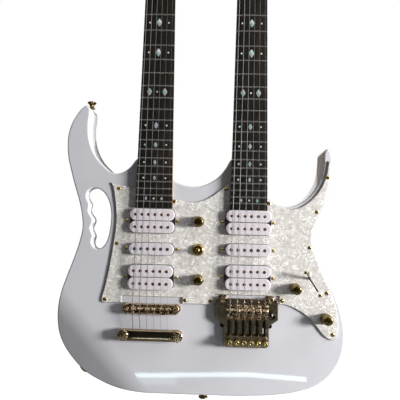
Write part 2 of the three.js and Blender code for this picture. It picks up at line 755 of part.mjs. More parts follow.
function guardGeometry() {
  const bottomZ = saddleZ + guardBottomRise;
  const tremLeft = tremCentreX - tremWidth / 2 - tremNotchMargin;
  const tremRight = tremCentreX + tremWidth / 2 + tremNotchMargin;
  const tremTop = tremFrontZ + tremNotchTop;
  const tomLeft = leftBridgeX - tomWidth / 2 - tomNotchMargin;
  const tomRight = leftBridgeX + tomWidth / 2 + tomNotchMargin;
  const tomTop = saddleZ + tomDepth / 2 + tomNotchTop;
  const outline = corneredCurve([
    onBody(guardLeftShares), onBody(guardCentreShares), onBody(guardHornShares),
    onBody(guardRightShares),
    [[tremRight, bottomZ + tremNotchTop], [tremRight, tremTop]],
    [[tremLeft, tremTop], [tremLeft, bottomZ]],
    [[tomRight, bottomZ], [tomRight, tomTop]],
    [[tomLeft, tomTop], [tomLeft, bottomZ]],
  ]);
  const plate = slab(outline, guardBackY, guardThickness, { edge: guardEdge, rounds: 1 });
  const deep = guardThickness + 2 * overrun;
  const tools = [];
  for (const neckX of [leftNeckX, rightNeckX]) {
    const notch = heelOutline(neckX, neckEndZ - fitGap, bodyBottomZ + bodyLength, 2 * fitGap);
    tools.push(slab(notch, guardBackY + overrun, deep));
  }
  const screwPlaces = onBody(guardScrewShares);
  const beside = [[leftNeckX, 1], [rightNeckX, -2], [rightNeckX, 1]];
  for (const [k, [neckX, side]] of beside.entries()) {
    const z = bodyBottomZ + neckScrewShares[k] * bodyLength;
    screwPlaces.push([neckX + Math.sign(side) * halfWidthAt(z) + side * neckScrewInset, z]);
  }
  screwPlaces.push([tomRight + notchScrewInset, bottomZ + bottomScrewRise]);
  screwPlaces.push([tremLeft - notchScrewInset, bottomZ + bottomScrewRise]);
  screwPlaces.push([tremRight + notchScrewInset, bottomZ + tremNotchTop + bottomScrewRise]);
  const screws = screwPlaces
    .map(([x, z]) => screwHead(guardScrewRadius, guardScrewRise, guardFrontY, x, z));
  for (const place of pickupPlaces) {
    const sites = [
      [leftNeckX + leftPickupShift, place.leftZ], [rightNeckX + rightPickupShift, place.rightZ],
    ];
    for (const [x, z] of sites) {
      tools.push(slab(pickupHole(place.bobbins, x, z), guardBackY + overrun, deep));
      for (const side of [-1, 1]) {
        const screwX = x + side * pickupScrewSpacing / 2;
        screws.push(screwHead(pickupScrewHeadRadius, pickupScrewHeadRise, guardFrontY, screwX, z));
        screws.push(barY(pickupScrewRadius, guardBackY - bite, guardBackY + basePlateDrop - fitGap,
          screwX, z, screwSides));
      }
    }
  }
  for (const [, x, z] of knobPlaces) {
    tools.push(barY(boreRadius(knobShaftRadius, controlHoleSides), guardBackY + overrun,
      guardFrontY - overrun, x, z, controlHoleSides));
  }
  tools.push(barY(boreRadius(toggleBushRadius, controlHoleSides), guardBackY + overrun,
    guardFrontY - overrun, toggleX, toggleZ, controlHoleSides));
  tools.push(block(-switchSlotLength / 2, switchSlotLength / 2, guardBackY + overrun,
    guardFrontY - overrun, -switchSlotWidth / 2, switchSlotWidth / 2)
    .rotateY(switchTurn).translate(switchX, 0, switchZ));
  const pivotY = guardFrontY + switchPivotDrop;
  const frame = [];
  for (const side of [-1, 1]) {
    const inner = side * (switchSlotWidth / 2 + fitGap);
    const outer = inner + side * switchPlateThickness;
    const cheek = block(-switchPlateWidth / 2, switchPlateWidth / 2, pivotY + switchPivotMargin,
      guardBackY - bite, inner, outer);
    const bore = barZ(boreRadius(switchPivotRadius, screwSides), inner - side * overrun,
      outer + side * overrun, 0, pivotY, screwSides);
    const head = screwHead(switchScrewRadius, guardScrewRise, guardFrontY, side * switchScrewSpacing / 2, 0);
    frame.push(cut(cheek, bore), head);
  }
  const placed = frame.map((piece) => piece.rotateY(switchTurn).translate(switchX, 0, switchZ));
  return join(cut(plate, ...tools), ...screws, ...placed);
}

// A neck: heel, shaft and tilted headstock with its six tuner housings, in one piece
const heelDepth = pocketDepth + fretboardRise - fretboardThickness - 2 * fitGap;
const shaftDepthAtHeel = 15.2;
const shaftDepthAtNut = 13.4;
const heelLength = 78;
const heelEase = 26; // over which the heel runs out into the shaft
const heelSquareShare = 0.25; // exponent of the section: low is boxy, high is round
const shaftRoundShare = 0.85;
const sectionPoints = 9;
const tunerPitch = 26;
const firstTunerV = 29;
const postRadius = 3;
const postRise = 15;
const postFootDepth = 7;
const housingWidth = 15;
const housingLength = 18;
const housingDepth = 9.5;
const bushingRadius = 6.4;
const bushingRise = 1.6;
const keyShaftRadius = 2.2;
const keyAxisDepth = 4.8; // behind the headstock
const keyAxisOffset = 7.2; // the worm runs beside the post's gear
const housingWall = 1.6;
const headEdge = 1.5;
const tunerSides = 8;
const keySides = 6;
const headLength = 190;
const headHalfWidth = 41;
const headShares = [
  [-0.524, 0], [-0.56, 0.03], [-0.7, 0.085], [-0.745, 0.12], [-0.61, 0.25],
  [-0.354, 0.45], [-0.1, 0.65], [0.15, 0.85], [0.265, 0.95], [0.4, 1.0],
  [0.54, 0.985], [0.7, 0.9], [0.88, 0.77], [0.96, 0.68], [0.9, 0.62],
  [0.82, 0.48], [0.72, 0.3], [0.6, 0.14], [0.53, 0.05], [0.524, 0],
];

function stringX(index, spread) {
  return (index / (stringCount - 1) - 0.5) * spread;
}

// Where each tuner stands on the headstock: across from the middle, and up from the nut
function tunerPlace(index) {
  return [stringX(index, nutStringSpread), firstTunerV + index * tunerPitch];
}

function neckSection(neckX, z, depth, exponent) {
  const half = halfWidthAt(Math.min(z, nutZ));
  const points = [];
  for (let k = 0; k < sectionPoints; k++) {
    const angle = Math.PI * k / (sectionPoints - 1);
    const across = -Math.sign(Math.cos(angle)) * Math.abs(Math.cos(angle)) ** exponent;
    const down = Math.sin(angle) ** exponent;
    const share = k === 0 || k === sectionPoints - 1 ? 0 : down;
    points.push(new THREE.Vector3(neckX + across * half, neckFaceY + share * depth, z));
  }
  return points;
}

function headFrame(neckX) {
  const group = new THREE.Group();
  group.position.set(neckX, neckFaceY, headZ);
  group.rotation.x = -headAngle;
  group.updateMatrix();
  return group;
}

function neckGeometry(neckX) {
  const easeZ = neckEndZ + heelLength;
  const shaftZ = easeZ + heelEase;
  const middleZ = (shaftZ + nutZ) / 2;
  const middleDepth = (shaftDepthAtHeel + shaftDepthAtNut) / 2;
  const shaft = loft([
    neckSection(neckX, neckEndZ, heelDepth, heelSquareShare),
    neckSection(neckX, easeZ, heelDepth, heelSquareShare),
    neckSection(neckX, easeZ + heelEase / 2, (heelDepth + shaftDepthAtHeel) / 2,
      (heelSquareShare + shaftRoundShare) / 2),
    neckSection(neckX, shaftZ, shaftDepthAtHeel, shaftRoundShare),
    neckSection(neckX, middleZ, middleDepth, shaftRoundShare),
    neckSection(neckX, nutZ - headThickness, shaftDepthAtNut, shaftRoundShare),
    neckSection(neckX, headZ, headThickness, shaftRoundShare),
  ]);
  const outline = headShares.map(([uShare, vShare]) => [uShare * headHalfWidth, vShare * headLength]);
  const board = slab(corneredCurve([outline]), headThickness, headThickness, { edge: headEdge, rounds: 1 });
  const added = [];
  const bores = [];
  for (let t = 0; t < stringCount; t++) {
    const [u, v] = tunerPlace(t);
    const keyV = v - keyAxisOffset;
    const housingFromV = keyV - keyShaftRadius - housingWall;
    const housingBackY = headThickness + housingDepth;
    const keyY = headThickness + keyAxisDepth;
    added.push(block(u - housingWidth / 2, u + housingWidth / 2, headThickness - bite, housingBackY,
      housingFromV, housingFromV + housingLength));
    added.push(barY(bushingRadius, bite, -bushingRise, u, v, keySides));
    bores.push(barY(boreRadius(postRadius, tunerSides), -bushingRise - overrun,
      headThickness + postFootDepth + fitGap, u, v, tunerSides));
    bores.push(barX(boreRadius(keyShaftRadius, keySides), u - housingWidth / 2 - overrun,
      u + keyShaftRadius + fitGap, keyY, keyV, keySides));
  }
  const head = cut(join(board, ...added), ...bores);
  head.applyMatrix4(headFrame(neckX).matrix);
  return join(shaft, head);
}

// A fretboard with its frets: a skin whose crowned top steps up over every fret
const boardPoints = 3;

function boardSection(neckX, z, rise) {
  const half = halfWidthAt(z);
  const points = [];
  for (let k = 0; k < boardPoints; k++) {
    const x = half * (2 * k / (boardPoints - 1) - 1);
    const drop = fretboardRadius - Math.sqrt(fretboardRadius ** 2 - x ** 2);
    points.push(new THREE.Vector3(neckX + x, fretboardTopY + drop - rise, z));
  }
  const bottomY = fretboardTopY + fretboardThickness;
  points.push(new THREE.Vector3(neckX + half, bottomY, z));
  points.push(new THREE.Vector3(neckX - half, bottomY, z));
  return points;
}

function fretboardGeometry(neckX) {
  const sections = [boardSection(neckX, nutZ - fitGap, 0)];
  for (let n = 1; n <= fretCount; n++) {
    const z = fretZ(n);
    sections.push(boardSection(neckX, z + fretWidth / 2, 0));
    sections.push(boardSection(neckX, z, fretHeight));
    sections.push(boardSection(neckX, z - fretWidth / 2, 0));
  }
  sections.push(boardSection(neckX, neckEndZ, 0));
  return loft(sections);
}

// Strings: thin rods through a list of points, thick on the left and thin on the right
function rodAlong(points, radius) {
  return loft(points.map((point) => {
    const ring = [];
    for (let k = 0; k < stringSides; k++) {
      const angle = 2 * Math.PI * k / stringSides;
      ring.push(new THREE.Vector3(point.x + radius * Math.cos(angle), point.y + radius * Math.sin(angle),
        point.z));
    }
    return ring;
  }));
}

function crown(x) {
  return fretboardRadius - Math.sqrt(fretboardRadius ** 2 - x ** 2);
}

const retainerV = 11;
const retainerRadius = 1.6;
const postStringRise = 5; // string above the headstock where it meets its post

// From the bridge over the nut to just short of the post; behind the nut a bar may press it down
function stringPath(neckX, index, start, barY0) {
  const [u, v] = tunerPlace(index);
  const frame = headFrame(neckX);
  const nutX = stringX(index, nutStringSpread);
  const bridgeX = stringX(index, bridgeStringSpread);
  const post = new THREE.Vector3(u, -postStringRise, v - postRadius - fitGap).applyMatrix4(frame.matrix);
  const path = [start, new THREE.Vector3(neckX + bridgeX, saddleStringY + crown(bridgeX), saddleZ)];
  path.push(new THREE.Vector3(neckX + nutX, nutStringY + crown(nutX), nutZ + nutThickness));
  if (barY0 !== undefined) {
    path.push(new THREE.Vector3(nutX, barY0, retainerV).applyMatrix4(frame.matrix));
  }
  path.push(post);
  return path;
}

function leftStringsGeometry() {
  const half = nutWidth / 2;
  const pieces = [block(leftNeckX - half, leftNeckX + half, neckFaceY - fitGap, nutStringY, nutZ,
    nutZ + nutThickness)];
  for (let s = 0; s < stringCount; s++) {
    const x = leftBridgeX + stringX(s, bridgeStringSpread);
    const start = new THREE.Vector3(x, frontY - tailpieceLift - tailpieceHeight / 2,
      tailpieceZ + tailpieceDepth / 2 + fitGap);
    pieces.push(rodAlong(stringPath(leftNeckX, s, start), stringRadii[s]));
  }
  return join(...pieces);
}

function rightStringsGeometry() {
  const barRise = postStringRise - 2 * retainerRadius;
  const half = nutWidth / 2;
  const barY0 = -barRise - retainerRadius + bite;
  const bar = barX(retainerRadius, -half, half, barY0, retainerV, tunerSides);
  const feet = [-1, 1].map((side) => barY(retainerRadius, barY0, -fitGap,
    side * (half - retainerRadius), retainerV, tunerSides));
  const retainer = join(bar, ...feet).applyMatrix4(headFrame(rightNeckX).matrix);
  const pieces = [retainer];
  for (let s = 0; s < stringCount; s++) {
    const x = rightNeckX + stringX(s, bridgeStringSpread);
    const start = new THREE.Vector3(x, saddleStringY + crown(x - rightNeckX) + fitGap,
      saddleZ - fretWidth);
    pieces.push(rodAlong(stringPath(rightNeckX, s, start, -barRise), stringRadii[s]));
  }
  return join(...pieces);
}

// Locking nut: a base with a channel for each string under three clamp blocks
const clampHeight = 3.4;
const clampGap = 1.4;
const clampScrewRadius = 2.4;
const clampScrewRise = 1;

function lockingNutGeometry() {
  const half = nutWidth / 2;
  const topY = nutStringY - stringRadii[0] - fitGap;
  const base = block(-half, half, neckFaceY - fitGap, topY + bite, nutZ, nutZ + nutThickness);
  const pieces = [base];
  const clampWidth = (nutWidth - 2 * clampGap) / 3;
  for (const place of [-1, 0, 1]) {
    const x = place * (clampWidth + clampGap);
    pieces.push(block(x - clampWidth / 2, x + clampWidth / 2, topY + bite, topY - clampHeight, nutZ,
      nutZ + nutThickness));
    pieces.push(barY(clampScrewRadius, topY, topY - clampHeight - clampScrewRise, x,
      nutZ + nutThickness / 2, tunerSides));
  }
  const channels = [];
  for (let s = 0; s < stringCount; s++) {
    const x = stringX(s, nutStringSpread);
    const reach = stringRadii[s] + fitGap;
    const y = nutStringY + crown(x);
    channels.push(block(x - reach, x + reach, y - reach, y + 2 * reach, nutZ - overrun,
      nutZ + nutThickness + overrun));
  }
  return cut(join(...pieces), ...channels).translate(rightNeckX, 0, 0);
}

// Fixed bridge: a round-ended bar on two posts, with six ridged saddles and thumbwheels
function fixedBridgeGeometry() {
  const saddleTopY = saddleStringY + stringRadii[0] + fitGap + crown(bridgeStringSpread / 2);
  const barFrontY = saddleTopY + tomSaddleRise;
  const barBackY = barFrontY + tomHeight;
  const pieces = [slab(roundedBox(0, 0, tomWidth, tomDepth, tomDepth / 2 - fitGap), barBackY, tomHeight,
    { edge: headEdge, rounds: 1 })];
  for (let s = 0; s < stringCount; s++) {
    const x = stringX(s, bridgeStringSpread);
    const ridge = [
      new THREE.Vector2(-tomDepth / 3, barFrontY + bite), new THREE.Vector2(tomDepth / 3, barFrontY + bite),
      new THREE.Vector2(bite, saddleTopY), new THREE.Vector2(-bite, saddleTopY),
    ];
    const saddle = prism(ridge, tomSaddleWidth);
    pieces.push(saddle.rotateY(Math.PI / 2).translate(x - tomSaddleWidth / 2, 0, 0));
  }
  for (const side of [-1, 1]) {
    const x = side * tomPostSpacing / 2;
    pieces.push(barY(tomPostRadius, barBackY - bite, frontY + tomPostDrop, x, 0, boreSides));
    pieces.push(barY(tomWheelRadius, frontY - fitGap, frontY - fitGap - tomWheelThickness, x, 0, boreSides));
  }
  return join(...pieces).translate(leftBridgeX, 0, saddleZ);
}

// Stop tailpiece: a round-backed bar hooked under two stud heads
function tailpieceGeometry() {
  const barBackY = frontY - tailpieceLift;
  const pieces = [slab(roundedBox(0, 0, tailpieceWidth, tailpieceDepth, tailpieceDepth / 2 - 2 * bite),
    barBackY, tailpieceHeight, { edge: tailpieceHeight / 4, rounds: 1 })];
  for (const side of [-1, 1]) {
    const x = side * studSpacing / 2;
    const headY = barBackY - tailpieceHeight - guardScrewRise;
    pieces.push(barY(studRadius, barBackY - bite, frontY + studDrop, x, 0, boreSides));
    pieces.push(barY(studHeadRadius, barBackY - tailpieceHeight / 2, headY, x, 0, boreSides));
  }
  return join(...pieces).translate(leftBridgeX, 0, tailpieceZ);
}

// Tremolo: a plate with six saddles, lock screws, the fine tuners' riser, the arm's socket
// and the sustain block that hangs down through the body. Built about its pivot
function tremoloGeometry() {
  const plateBackY = frontY - tremPlateLift;
  const plateFrontY = plateBackY - tremPlateThickness;
  const half = tremWidth / 2;
  const tail = tremTailWidth / 2;
  const corner = tremPlateThickness;
  const plan = [
    [-half + corner, tremFrontZ], [-half, tremFrontZ - corner], [-half, tremShoulderZ],
    [-tail, tremWaistZ], [-tail, tremTailZ + corner], [-tail + corner, tremTailZ],
    [tail - corner, tremTailZ], [tail, tremTailZ + corner], [tail, tremWaistZ],
    [half, tremShoulderZ], [half, tremFrontZ - corner], [half - corner, tremFrontZ],
  ].map(([x, z]) => new THREE.Vector2(x, z));
  const eased = { edge: tremPlateThickness / 4, rounds: 1 };
  const plate = slab(plan.reverse(), plateBackY, tremPlateThickness, eased);
  const notches = [-1, 1].flatMap((side) => {
    const x = side * tremStudSpacing / 2;
    return [
      barY(tremStudNotchRadius, plateBackY + overrun, plateFrontY - overrun, x, tremStudZ, boreSides),
      block(x - tremStudNotchRadius, x + tremStudNotchRadius, plateBackY + overrun,
        plateFrontY - overrun, tremStudZ, tremFrontZ + overrun),
    ];
  });
  const slots = [];
  const tunerBores = [];
  const added = [];
  const riserFrontY = plateFrontY - riserHeight;
  added.push(block(-tail + corner, tail - corner, plateFrontY + bite, riserFrontY,
    tremTailZ + corner, riserFrontZ));
  added.push(block(-blockWidth / 2, blockWidth / 2, plateBackY - bite, blockBottomY, blockRearZ,
    blockFrontZ));
  for (let s = 0; s < stringCount; s++) {
    const x = stringX(s, bridgeStringSpread) + rightNeckX - tremCentreX;
    const peakY = saddleStringY + crown(bridgeStringSpread / 2) + stringRadii[0] + fitGap;
    const side = [
      [saddleFrontZ, plateFrontY + bite], [saddleFrontZ, plateFrontY - riserHeight / 3],
      [saddleZ + fretWidth, peakY], [saddleZ - fretWidth, peakY],
      [saddleRearZ, peakY + riserHeight / 4], [saddleRearZ, plateFrontY + bite],
    ].map(([z, y]) => new THREE.Vector2(-z, y));
    const saddle = prism(side, saddleWidth);
    added.push(saddle.rotateY(Math.PI / 2).translate(x - saddleWidth / 2, 0, 0));
    const screwY = plateFrontY - lockScrewRadius - fitGap;
    added.push(barZ(lockScrewRadius, riserFrontZ - bite, saddleRearZ + bite, x, screwY, tunerSides));
    slots.push(block(x - saddleWidth / 3, x + saddleWidth / 3, plateBackY + overrun,
      plateFrontY - overrun, riserFrontZ + fretWidth, saddleRearZ - fretWidth));
    tunerBores.push(barY(boreRadius(fineTunerShank, tunerSides), plateBackY + overrun,
      riserFrontY - overrun, x, fineTunerZ, tunerSides));
  }
  const socketX = armSocketX - tremCentreX;
  added.push(barY(armSocketRadius, plateBackY - bite, plateFrontY - armSocketRise, socketX, armSocketZ,
    boreSides));
  const armBore = barY(armBoreRadius, plateBackY + overrun, plateFrontY - armSocketRise - overrun, socketX,
    armSocketZ, boreSides);
  const bare = cut(plate, ...notches, ...slots);
  return cut(join(bare, ...added), armBore, ...tunerBores)
    .translate(0, -plateBackY, -tremPivotZ);
}

function fineTunerGeometry() {
  const riserFrontY = frontY - tremPlateLift - tremPlateThickness - riserHeight;
  const headBackY = riserFrontY - fitGap;
  return turned([
    [0, frontY - tremPlateLift], [fineTunerShank, frontY - tremPlateLift], [fineTunerShank, headBackY],
    [fineTunerRadius, headBackY], [fineTunerRadius, headBackY - fineTunerHeight + bite],
    [fineTunerRadius - bite, headBackY - fineTunerHeight], [0, headBackY - fineTunerHeight],
  ], tunerSides);
}

// Claw and its three springs, from the body's cavity to the sustain block
const springSteps = 8;
const springWireSides = 5;

let springGap = Infinity;

// The least gap between turns of a wire, from centre points more than half a turn apart
function leastGap(centres, radius) {
  let least = Infinity;
  for (let i = 0; i < centres.length; i++) {
    for (let j = i + 1 + springSteps / 2; j < centres.length; j++) {
      least = Math.min(least, centres[i].distanceTo(centres[j]) - 2 * radius);
    }
  }
  return least;
}

function springGeometry(x) {
  const fromZ = clawZ - bite;
  const toZ = blockFrontZ + fitGap;
  const lead = 2 * springWire;
  const coilLength = fromZ - toZ - 2 * lead;
  const count = springCurls * springSteps;
  const rings = [];
  const centres = [];
  const addRing = (centre, along) => {
    const side = new THREE.Vector3(-along.y, along.x, 0);
    if (side.length() < mergeTolerance) {
      side.set(1, 0, 0);
    }
    side.normalize();
    const up = along.clone().normalize().cross(side);
    const ring = [];
    for (let k = 0; k < springWireSides; k++) {
      const angle = 2 * Math.PI * k / springWireSides;
      ring.push(centre.clone().addScaledVector(side, springWire * Math.cos(angle))
        .addScaledVector(up, springWire * Math.sin(angle)));
    }
    rings.push(ring);
    centres.push(centre);
  };
  const straight = new THREE.Vector3(0, 0, -1);
  addRing(new THREE.Vector3(x + springRadius, springY, fromZ), straight);
  for (let i = 0; i <= count; i++) {
    const angle = 2 * Math.PI * i / springSteps;
    const climb = coilLength / count;
    const centre = new THREE.Vector3(x + springRadius * Math.cos(angle),
      springY + springRadius * Math.sin(angle), fromZ - lead - i * climb);
    const along = new THREE.Vector3(-Math.sin(angle), Math.cos(angle), -climb / springRadius);
    addRing(centre, i === 0 || i === count ? straight : along);
  }
  addRing(new THREE.Vector3(x + springRadius, springY, toZ), straight);
  springGap = Math.min(springGap, leastGap(centres, springWire));
  return loft(rings);
}

function clawGeometry() {
  const half = clawWidth / 2;
  const pieces = [block(-half, half, springY - clawHeight / 2, springY + clawHeight / 2,
    clawZ - clawThickness, clawZ + clawThickness)];
  for (const side of [-1, 1]) {
    pieces.push(barZ(clawScrewRadius, clawZ - 2 * clawThickness, cavityTopZ + clawScrewDepth,
      side * clawScrewSpacing / 2, springY, screwSides));
  }
  for (let n = 0; n < springCount; n++) {
    pieces.push(springGeometry((n - (springCount - 1) / 2) * springPitchX));
  }
  console.log(`tremolo springs: least gap from turn to turn ${springGap.toFixed(2)} mm`);
  return join(...pieces).translate(tremCentreX, 0, 0);
}

// Strap button: a screw shank, a waist and a flange; the outer face is at zero, the shank
// points along +Y
function strapButtonGeometry() {
  const seat = buttonHeight - fitGap;
  return turned([
    [0, 0], [buttonRadius - 1.2 * bite, 0], [buttonRadius, bite], [buttonRadius, 4 * bite],
    [buttonWaist, buttonHeight / 2], [buttonWaist + bite, seat - 2 * bite], [buttonRadius - 2 * bite, seat],
    [buttonScrewRadius, seat], [buttonScrewRadius, seat + buttonScrewLength], [0, seat + buttonScrewLength],
  ], boreSides);
}

// Output jack: a flange with a flared mouth and a barrel sunk in the rim, mouth along -X
function jackGeometry() {
  const seat = -fitGap;
  const face = seat - jackFlangeThickness;
  const flareEnd = face + jackFlareRadius - jackBoreRadius;
  const points = [
    [jackFlareRadius, face], [jackFlangeRadius, face], [jackFlangeRadius, seat],
    [jackBarrelRadius, seat], [jackBarrelRadius, jackBarrelLength], [0, jackBarrelLength],
    [0, jackBarrelLength - jackEndWall], [jackBoreRadius, jackBarrelLength - jackEndWall],
    [jackBoreRadius, flareEnd], [jackFlareRadius, face],
  ];
  return turned(points, boreSides).rotateZ(-Math.PI / 2);
}

// Toggle switch: can, bush, dress ring and nut round a flared bore with a seat for the ball
function toggleBaseGeometry() {
  const pivotY = togglePivotDrop;
  const seat = toggleBallRadius + fitGap;
  const bottom = pivotY + seat + guardThickness;
  const back = guardThickness + fitGap;
  const ring = -fitGap;
  const nut = ring - toggleRingThickness;
  const top = nut - toggleNutThickness;
  return turned([
    [0, bottom], [toggleCanRadius, bottom], [toggleCanRadius, back], [toggleBushRadius, back],
    [toggleBushRadius, ring], [toggleRingRadius, ring], [toggleRingRadius, ring - toggleRingThickness / 3],
    [toggleNutRadius, nut], [toggleNutRadius, top + bite], [toggleNutRadius - bite, top],
    [toggleMouthRadius, top], [seat, pivotY - toggleBallRadius], [seat, pivotY + seat], [0, pivotY + seat],
  ], controlHoleSides).translate(toggleX, guardFrontY, toggleZ);
}

function toggleLeverGeometry() {
  const tipY = -togglePivotDrop - toggleRingThickness - toggleNutThickness - toggleLeverLength;
  const ball = toggleBallRadius;
  const slant = ball * Math.SQRT1_2;
  return turned([
    [0, ball], [slant, slant], [ball, 0], [slant, -slant],
    [toggleLeverRadius, -ball], [toggleLeverRadius, tipY + 2 * toggleTipRadius],
    [toggleTipRadius, tipY + toggleTipRadius], [toggleTipRadius * Math.SQRT1_2, tipY + bite], [0, tipY],
  ], controlHoleSides);
}

function knobGeometry() {
  const skirt = -knobLift;
  const top = skirt - knobHeight;
  return turned([
    [0, potDepth], [knobShaftRadius, potDepth], [knobShaftRadius, skirt], [knobRadius, skirt],
    [knobRadius, skirt - 2 * bite], [knobTopRadius, top + 3 * bite],
    [knobTopRadius * Math.SQRT1_2, top + bite], [0, top],
  ], controlHoleSides);
}

// The five-way switch's blade with its pivot pin and rounded tip, leaning in its rest place
function switchLeverGeometry() {
  const reach = (switchPivotDrop + switchLeverReach / 2) / Math.cos(switchLean);
  const blade = block(-switchLeverWidth / 2, switchLeverWidth / 2, 0, -reach, -switchLeverThickness / 2,
    switchLeverThickness / 2);
  const pinReach = switchSlotWidth / 2 + fitGap + switchPlateThickness;
  const pin = barZ(switchPivotRadius, -pinReach, pinReach, 0, 0, screwSides);
  const tip = turned([
    [0, -reach + 2 * bite], [switchTipRadius * Math.SQRT1_2, -reach + bite], [switchTipRadius, -reach],
    [switchTipRadius - bite, bite - reach - switchTipLength],
    [switchTipRadius / 2, -reach - switchTipLength], [0, -reach - switchTipLength],
  ], tunerSides);
  return join(blade, pin, tip).rotateZ(-switchLean);
}

// Tuners: a post through the headstock and a key on its worm shaft
function postGeometry() {
  const foot = headThickness + postFootDepth;
  const waist = postRadius - bite;
  return turned([
    [0, foot], [postRadius, foot], [postRadius, -postStringRise + 2 * bite], [waist, -postStringRise],
    [postRadius, -postStringRise - 4 * bite], [postRadius, -postRise], [0, -postRise],
  ], keySides);
}

const keyButtonLength = 13;
const keyButtonWidth = 19;
const keyButtonThickness = 6.5;
const keyShaftLength = 21;

function keyGeometry() {
  const shaft = barX(keyShaftRadius, 0, -keyShaftLength, 0, 0, keySides);
  const centre = -keyShaftLength - keyButtonLength / 2 + bite;
  const button = slab(roundedBox(centre, 0, keyButtonLength, keyButtonWidth, keyButtonLength / 3, 1),
    keyButtonThickness / 2, keyButtonThickness, { edge: 2 * bite, rounds: 1 });
  return join(shaft, button);
}

addPiece('body', bodyGeometry(), whiteLacquer);
addPiece('pickguard', guardGeometry(), pearl);
addPiece('neck_left', neckGeometry(leftNeckX), maple);
addPiece('neck_right', neckGeometry(rightNeckX), maple);
addPiece('fretboard_left', fretboardGeometry(leftNeckX), rosewood);
addPiece('fretboard_right', fretboardGeometry(rightNeckX), rosewood);
addPiece('strings_left', leftStringsGeometry(), steel);
addPiece('strings_right', rightStringsGeometry(), steel);
addPiece('locking_nut', lockingNutGeometry(), gold);
addPiece('fixed_bridge', fixedBridgeGeometry(), gold);
addPiece('stop_tailpiece', tailpieceGeometry(), gold);
addPiece('spring_claw', clawGeometry(), steel);
addPiece('tremolo_cover', slab(coverOutline(0), backY, coverThickness), whitePlastic);

for (const place of pickupPlaces) {
  const geometry = pickupGeometry(place.bobbins);
  addPiece(`pickup_left_${place.name}`, geometry, whitePlastic)
    .position.set(leftNeckX + leftPickupShift, 0, place.leftZ);
  addPiece(`pickup_right_${place.name}`, geometry, whitePlastic)
    .position.set(rightNeckX + rightPickupShift, 0, place.rightZ);
}

const tremolo = new THREE.Group();
tremolo.position.set(tremCentreX, frontY - tremPlateLift, tremPivotZ);
guitar.add(tremolo);
addPiece('tremolo_plate', tremoloGeometry(), gold, tremolo);
for (let s = 0; s < stringCount; s++) {
  const x = stringX(s, bridgeStringSpread) + rightNeckX - tremCentreX;
  addPiece(`fine_tuner_${s + 1}`, fineTunerGeometry(), gold, tremolo)
    .position.set(x, -tremolo.position.y, fineTunerZ - tremPivotZ);
}

for (const [name, x, z] of knobPlaces) {
  addPiece(name, knobGeometry(), gold).position.set(x, guardFrontY, z);
}
addPiece('toggle_switch', toggleBaseGeometry(), gold);
addPiece('toggle_lever', toggleLeverGeometry(), blackPlastic)
  .position.set(toggleX, guardFrontY + togglePivotDrop, toggleZ);
const switchFrame = new THREE.Group();
switchFrame.position.set(switchX, guardFrontY + switchPivotDrop, switchZ);
switchFrame.rotation.y = switchTurn;
guitar.add(switchFrame);
addPiece('pickup_switch_lever', switchLeverGeometry(), whitePlastic, switchFrame);

const endButton = addPiece('end_strap_button', strapButtonGeometry(), gold);
endButton.rotation.x = Math.PI / 2;
const hornButton = addPiece('horn_strap_button', strapButtonGeometry(), gold);
hornButton.position.set(hornButtonX, 0, hornTopZ + buttonHeight);
hornButton.rotation.x = -Math.PI / 2;
const jack = addPiece('output_jack', jackGeometry(), gold);
jack.position.set(jackX, jackSetback, jackZ);
jack.rotation.y = -jackTurn;

for (const [side, neckX] of [['left', leftNeckX], ['right', rightNeckX]]) {
  const frame = headFrame(neckX);
  guitar.add(frame);
  for (let t = 0; t < stringCount; t++) {
    const [u, v] = tunerPlace(t);
    addPiece(`tuner_post_${side}_${t + 1}`, postGeometry(), gold, frame).position.set(u, 0, v);
    addPiece(`tuner_key_${side}_${t + 1}`, keyGeometry(), gold, frame)
      .position.set(u, headThickness + keyAxisDepth, v - keyAxisOffset);
  }
}

export default guitar;
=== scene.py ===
import math

import bmesh
import bpy
import numpy as np
from mathutils import Matrix, Quaternion, Vector
from mathutils.geometry import tessellate_polygon


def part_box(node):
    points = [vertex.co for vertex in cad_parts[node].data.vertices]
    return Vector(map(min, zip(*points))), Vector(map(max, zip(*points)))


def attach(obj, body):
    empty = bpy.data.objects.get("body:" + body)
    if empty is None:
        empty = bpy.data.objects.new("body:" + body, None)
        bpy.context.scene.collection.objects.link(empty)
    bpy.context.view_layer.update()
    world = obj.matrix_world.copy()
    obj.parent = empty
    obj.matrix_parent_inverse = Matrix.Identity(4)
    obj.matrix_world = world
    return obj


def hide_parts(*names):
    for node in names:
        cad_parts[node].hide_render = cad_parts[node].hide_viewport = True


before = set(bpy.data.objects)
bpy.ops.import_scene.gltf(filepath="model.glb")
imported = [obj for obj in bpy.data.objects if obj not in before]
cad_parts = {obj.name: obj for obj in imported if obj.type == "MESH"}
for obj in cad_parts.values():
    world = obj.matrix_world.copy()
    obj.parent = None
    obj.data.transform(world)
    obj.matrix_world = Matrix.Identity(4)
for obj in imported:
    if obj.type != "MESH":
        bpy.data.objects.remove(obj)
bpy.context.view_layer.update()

bl_info = {
    "name": "Double-neck guitar dressing",
    "version": (1, 0, 0),
    "blender": (4, 5, 0),
    "location": "3D View > Sidebar > Guitar",
    "description": "Builds the fine surfaces, finishes and studio of a double-neck electric guitar",
    "category": "Object",
}

MM = 0.001


def box_mm(node):
    """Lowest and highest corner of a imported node, in millimetres."""
    low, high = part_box(node)
    return np.array(low) / MM, np.array(high) / MM


def span_mm(node):
    """Lowest corner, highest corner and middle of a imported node, in millimetres."""
    low, high = box_mm(node)
    return low, high, (low + high) / 2


def centre_mm(node):
    """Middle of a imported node's box, in millimetres."""
    return span_mm(node)[2]


